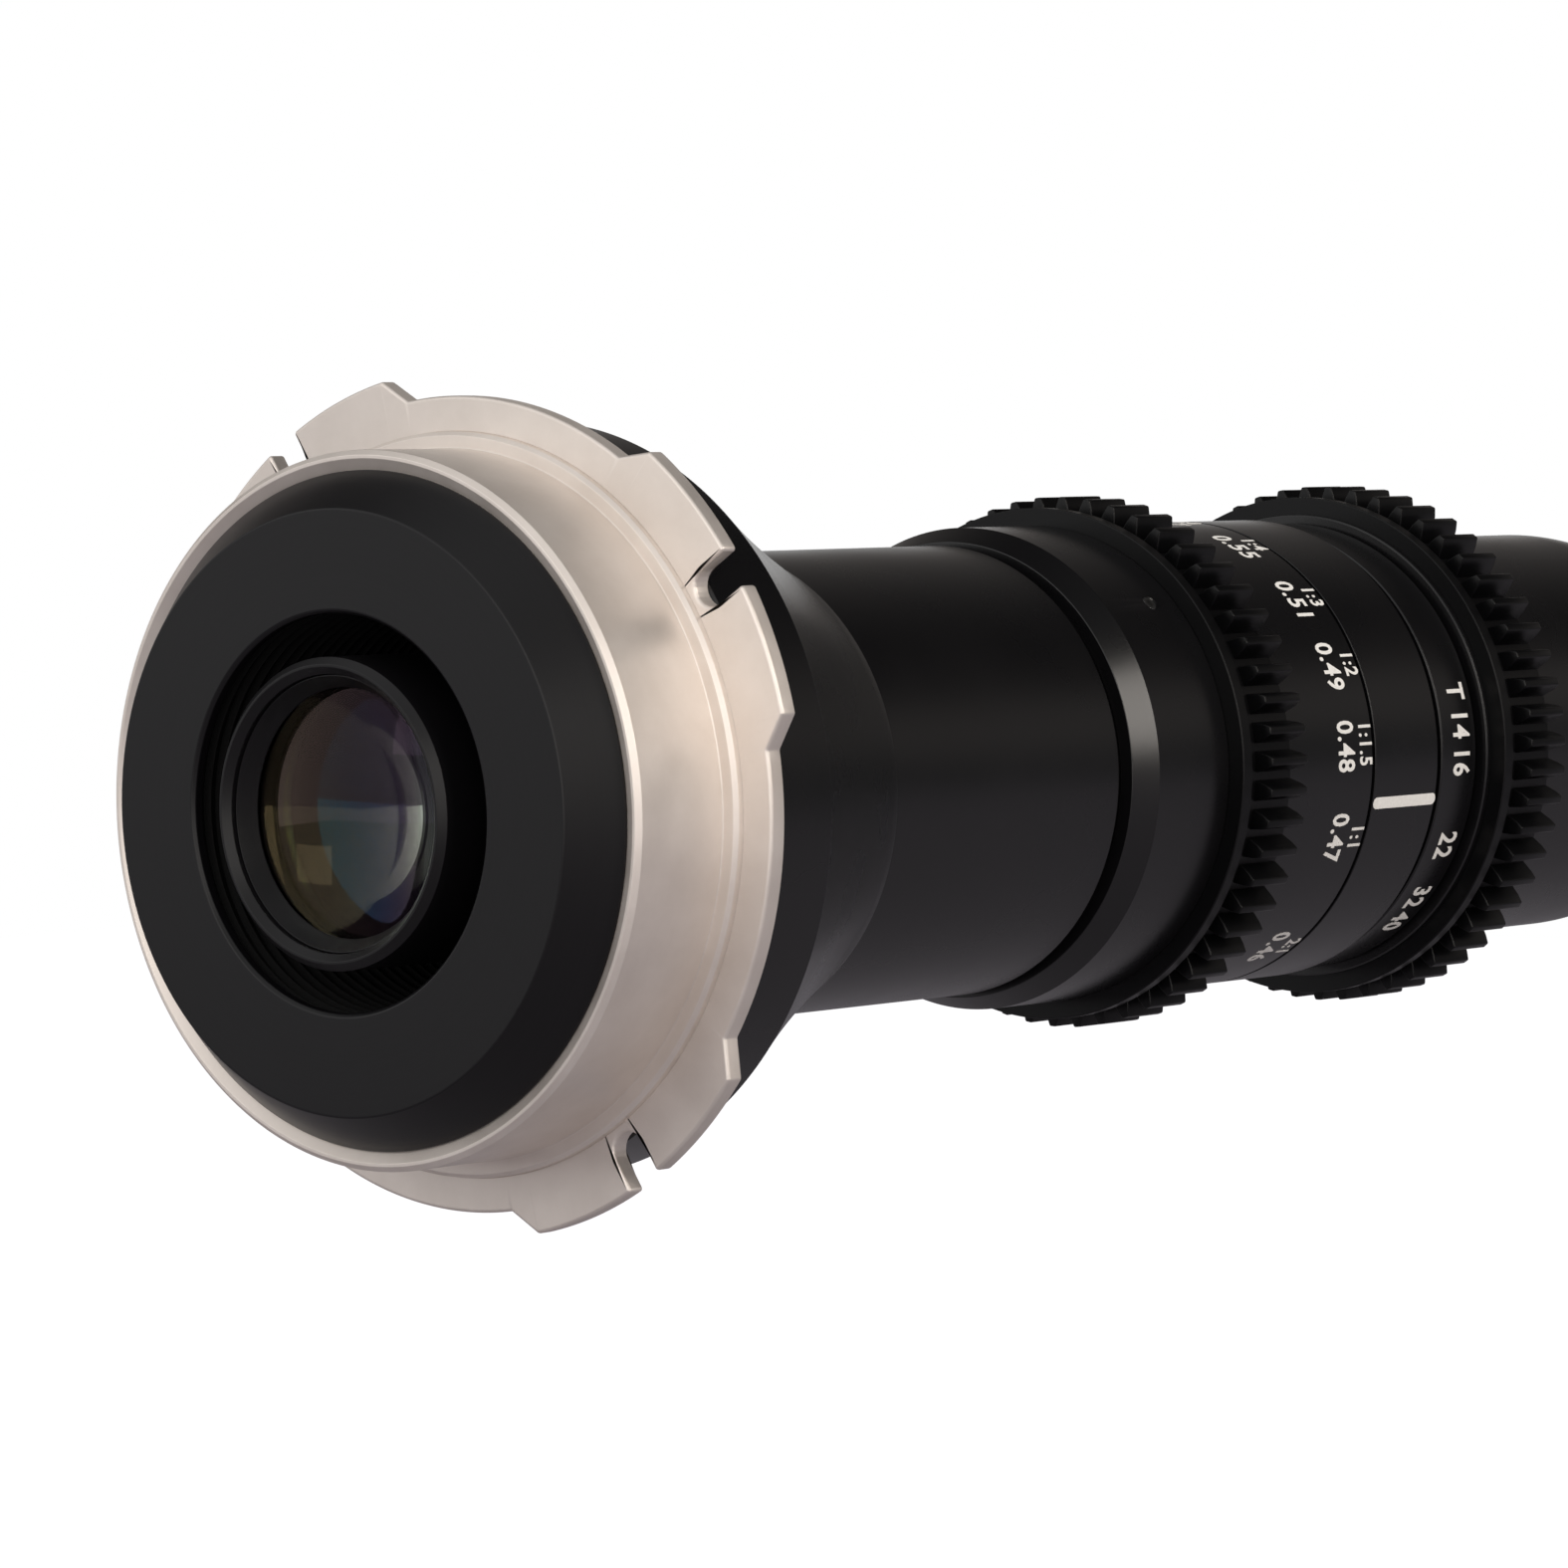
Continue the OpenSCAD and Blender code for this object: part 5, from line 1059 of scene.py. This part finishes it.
# %% Turn the iris ring and write its stops
iris_r, iris_start, iris_end = ends("iris_ring")
iris_gear_start = ends("iris_gear")[1]
iris_bore_r, groove_r, band_r, band_start, band_end = 16.25, 18.8, 19.6, 103, 108.1
step_y, band_edge = 108.7, 0.12
iris = lathe("iris_ring", [
    (iris_bore_r, iris_start), (groove_r, iris_start), (groove_r, band_start),
    (band_r - band_edge, band_start), (band_r, band_start + band_edge), (band_r, band_end),
    (groove_r, band_end), (groove_r, step_y), (iris_r - band_edge, step_y),
    (iris_r, step_y + band_edge),
    (iris_r, iris_gear_start), (gear_seat_r, iris_gear_start), (gear_seat_r, iris_end),
    (iris_bore_r, iris_end)], radius=0.06)
fit(iris, "black_anodised", "aperture_ring", "black_anodised", "iris_ring")
stops = [("T", -14), ("14", -5), ("16", 4.5), ("22", 26), ("32", 42), ("40", 51)]
stop_y, stop_high = 106.0, 2.5
numbers("stop_numbers", [(text, angle, stop_y, stop_high) for text, angle in stops], band_r,
        "aperture_ring")

# %% [markdown]
# ## Front barrel and probe tube
#
# The front barrel ends in a large round shoulder that narrows to a collar, and the long
# probe tube is held in the collar. The power socket for the lights is cut into the barrel's
# underside. Lenses of this kind have it there, though the photograph ends before it.

# %% Turn the front barrel
front_r, front_start, front_end = ends("front_barrel")
tube_r, tube_start, tube_end = ends("probe_tube")
round_r, round_start, round_end, round_steps = 27.0, 142.6, 160.17, 40
tube_seat_r, front_edge = 9.82, 0.25
shoulder = []
for i in range(round_steps + 1):
    angle = math.asin((round_end - round_start) / round_r) * i / round_steps
    shoulder.append((front_r - round_r + round_r * math.cos(angle),
                     round_start + round_r * math.sin(angle)))
collar_r = shoulder[-1][0]
front = lathe("front_barrel", [
    (guide_bore_r, front_start), (front_r - front_edge, front_start),
    (front_r, front_start + front_edge)] + shoulder + [
    (collar_r, front_end - front_edge), (collar_r - front_edge, front_end), (tube_seat_r, front_end),
    (tube_seat_r, tube_start), (guide_bore_r, round_start)], radius=0.1)
print("shoulder ends at r", round(collar_r, 2))

# %% Cut the socket's opening
low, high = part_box("power_socket_shell")
room, corner_r, opening_top, opening_bottom = 0.3, 1.2, -0.0145, -0.0195
half_w, half_l = 1000 * high.x + room, 500 * (high.y - low.y) + room
mid_y = 500 * (low.y + high.y)
outline = rounded([(-half_w, -half_l), (half_w, -half_l), (half_w, half_l), (-half_w, half_l)],
                  radius=corner_r, arc=6)
shell = bmesh.new()
skin(shell, [[shell.verts.new((a / 1000, (mid_y + b) / 1000, z)) for a, b, _, _ in outline]
             for z in (opening_top, opening_bottom)])
drilled(front, shell_piece("opening", shell))
fit(front, "black_anodised", "lens_barrel", "black_anodised", "front_barrel")

# %% Turn the probe tube
tube_bore_r, tube_held_r = 9.2, tube_seat_r - clearance
probe = lathe("probe_tube", [
    (tube_bore_r, tube_start), (tube_held_r, tube_start), (tube_held_r, front_end),
    (tube_r, front_end), (tube_r, tube_end), (tube_bore_r, tube_end)], radius=0.05)
fit(probe, "black_anodised", "lens_barrel", "black_anodised", "probe_tube")

# %% [markdown]
# ## The lit tip
#
# The tip has a ring of twelve small lights on a green board, under a milky window, round the
# front glass. The housing has a deep annular recess for them.

# %% Turn the tip
tip_r, tip_start, tip_end = ends("tip_housing")
board_r, board_start, board_end = ends("led_board")
_, window_start, window_end = ends("light_window")
tip_bore_r, tip_seat_r, tip_edge = 5.02, tube_bore_r - clearance, 0.3
recess_r, recess_wall_r = 5.8, board_r + clearance
tip = lathe("tip_housing", [
    (tip_bore_r, tip_start), (tip_seat_r, tip_start), (tip_seat_r, tube_end + clearance),
    (tip_r, tube_end + clearance), (tip_r, tip_end - tip_edge), (tip_r - tip_edge, tip_end),
    (recess_wall_r, tip_end), (recess_wall_r, board_start), (recess_r, board_start),
    (recess_r, tip_end), (tip_bore_r, tip_end)], radius=0.05)
fit(tip, "black_anodised", "lens_barrel", "black_anodised", "tip_housing")
board_bore_r = recess_r + clearance
board = lathe("led_board", [
    (board_bore_r, board_start + clearance), (board_r, board_start + clearance), (board_r, board_end),
    (board_bore_r, board_end)], radius=0.05)
fit(board, "board_green", "lens_barrel", "board_green", "led_board")
window = lathe("light_window", [
    (board_bore_r, window_start), (board_r, window_start), (board_r, window_end),
    (board_bore_r, window_end)], radius=0.1)
fit(window, "window_milky", "lens_barrel", "window_milky", "light_window")

# %% Twelve light chips
chips_r, chip_start, chip_end = ends("leds")
chip_w, chip_count = 1.8, 12
shell = bmesh.new()
bmesh.ops.create_cube(shell, size=1)
for v in shell.verts:
    v.co = Vector((chips_r - chip_w / 2 + chip_w * v.co.x,
                   chip_start + (chip_end - chip_start) * (v.co.y + 0.5), chip_w * v.co.z)) / 1000
bmesh.ops.bevel(shell, geom=list(shell.edges), offset=120 * micron, segments=2, profile=0.5,
                affect="EDGES")
chips = repeat(shell_piece("light_chips", shell), chip_count, 0, 360 / chip_count, "light_white")
fit(chips, "light_white", "lens_barrel", "light_white", "leds")

# %% Front cell and front glass
front_cell_r, front_cell_start, front_cell_end = ends("front_cell")
front_lens_r, front_lens_start, _ = ends("front_lens")
front_bore_r, front_neck_r, front_stop_r = front_lens_r + clearance, tip_bore_r - clearance, 3.48
neck_start, front_stop_t, lens_gap = 371.92, 0.4, 0.01
front_lens_end = front_cell_end - front_stop_t
front_cell = lathe("front_cell", [
    (front_bore_r, front_cell_start), (front_cell_r, front_cell_start), (front_cell_r, neck_start),
    (front_neck_r, neck_start), (front_neck_r, front_cell_end), (front_stop_r, front_cell_end),
    (front_stop_r, front_lens_end), (front_bore_r, front_lens_end)], radius=0.05)
fit(front_cell, "black_turned", "lens_barrel", "black_anodised", "front_cell")
ground("front_second_lens", front_lens_r, ends("front_retaining_ring")[2], front_lens_start - lens_gap,
       rear_bulge=0.56, front_bulge=-0.42)
ground("front_lens", front_lens_r, front_lens_start, front_lens_end, rear_bulge=-0.35, front_bulge=0.28)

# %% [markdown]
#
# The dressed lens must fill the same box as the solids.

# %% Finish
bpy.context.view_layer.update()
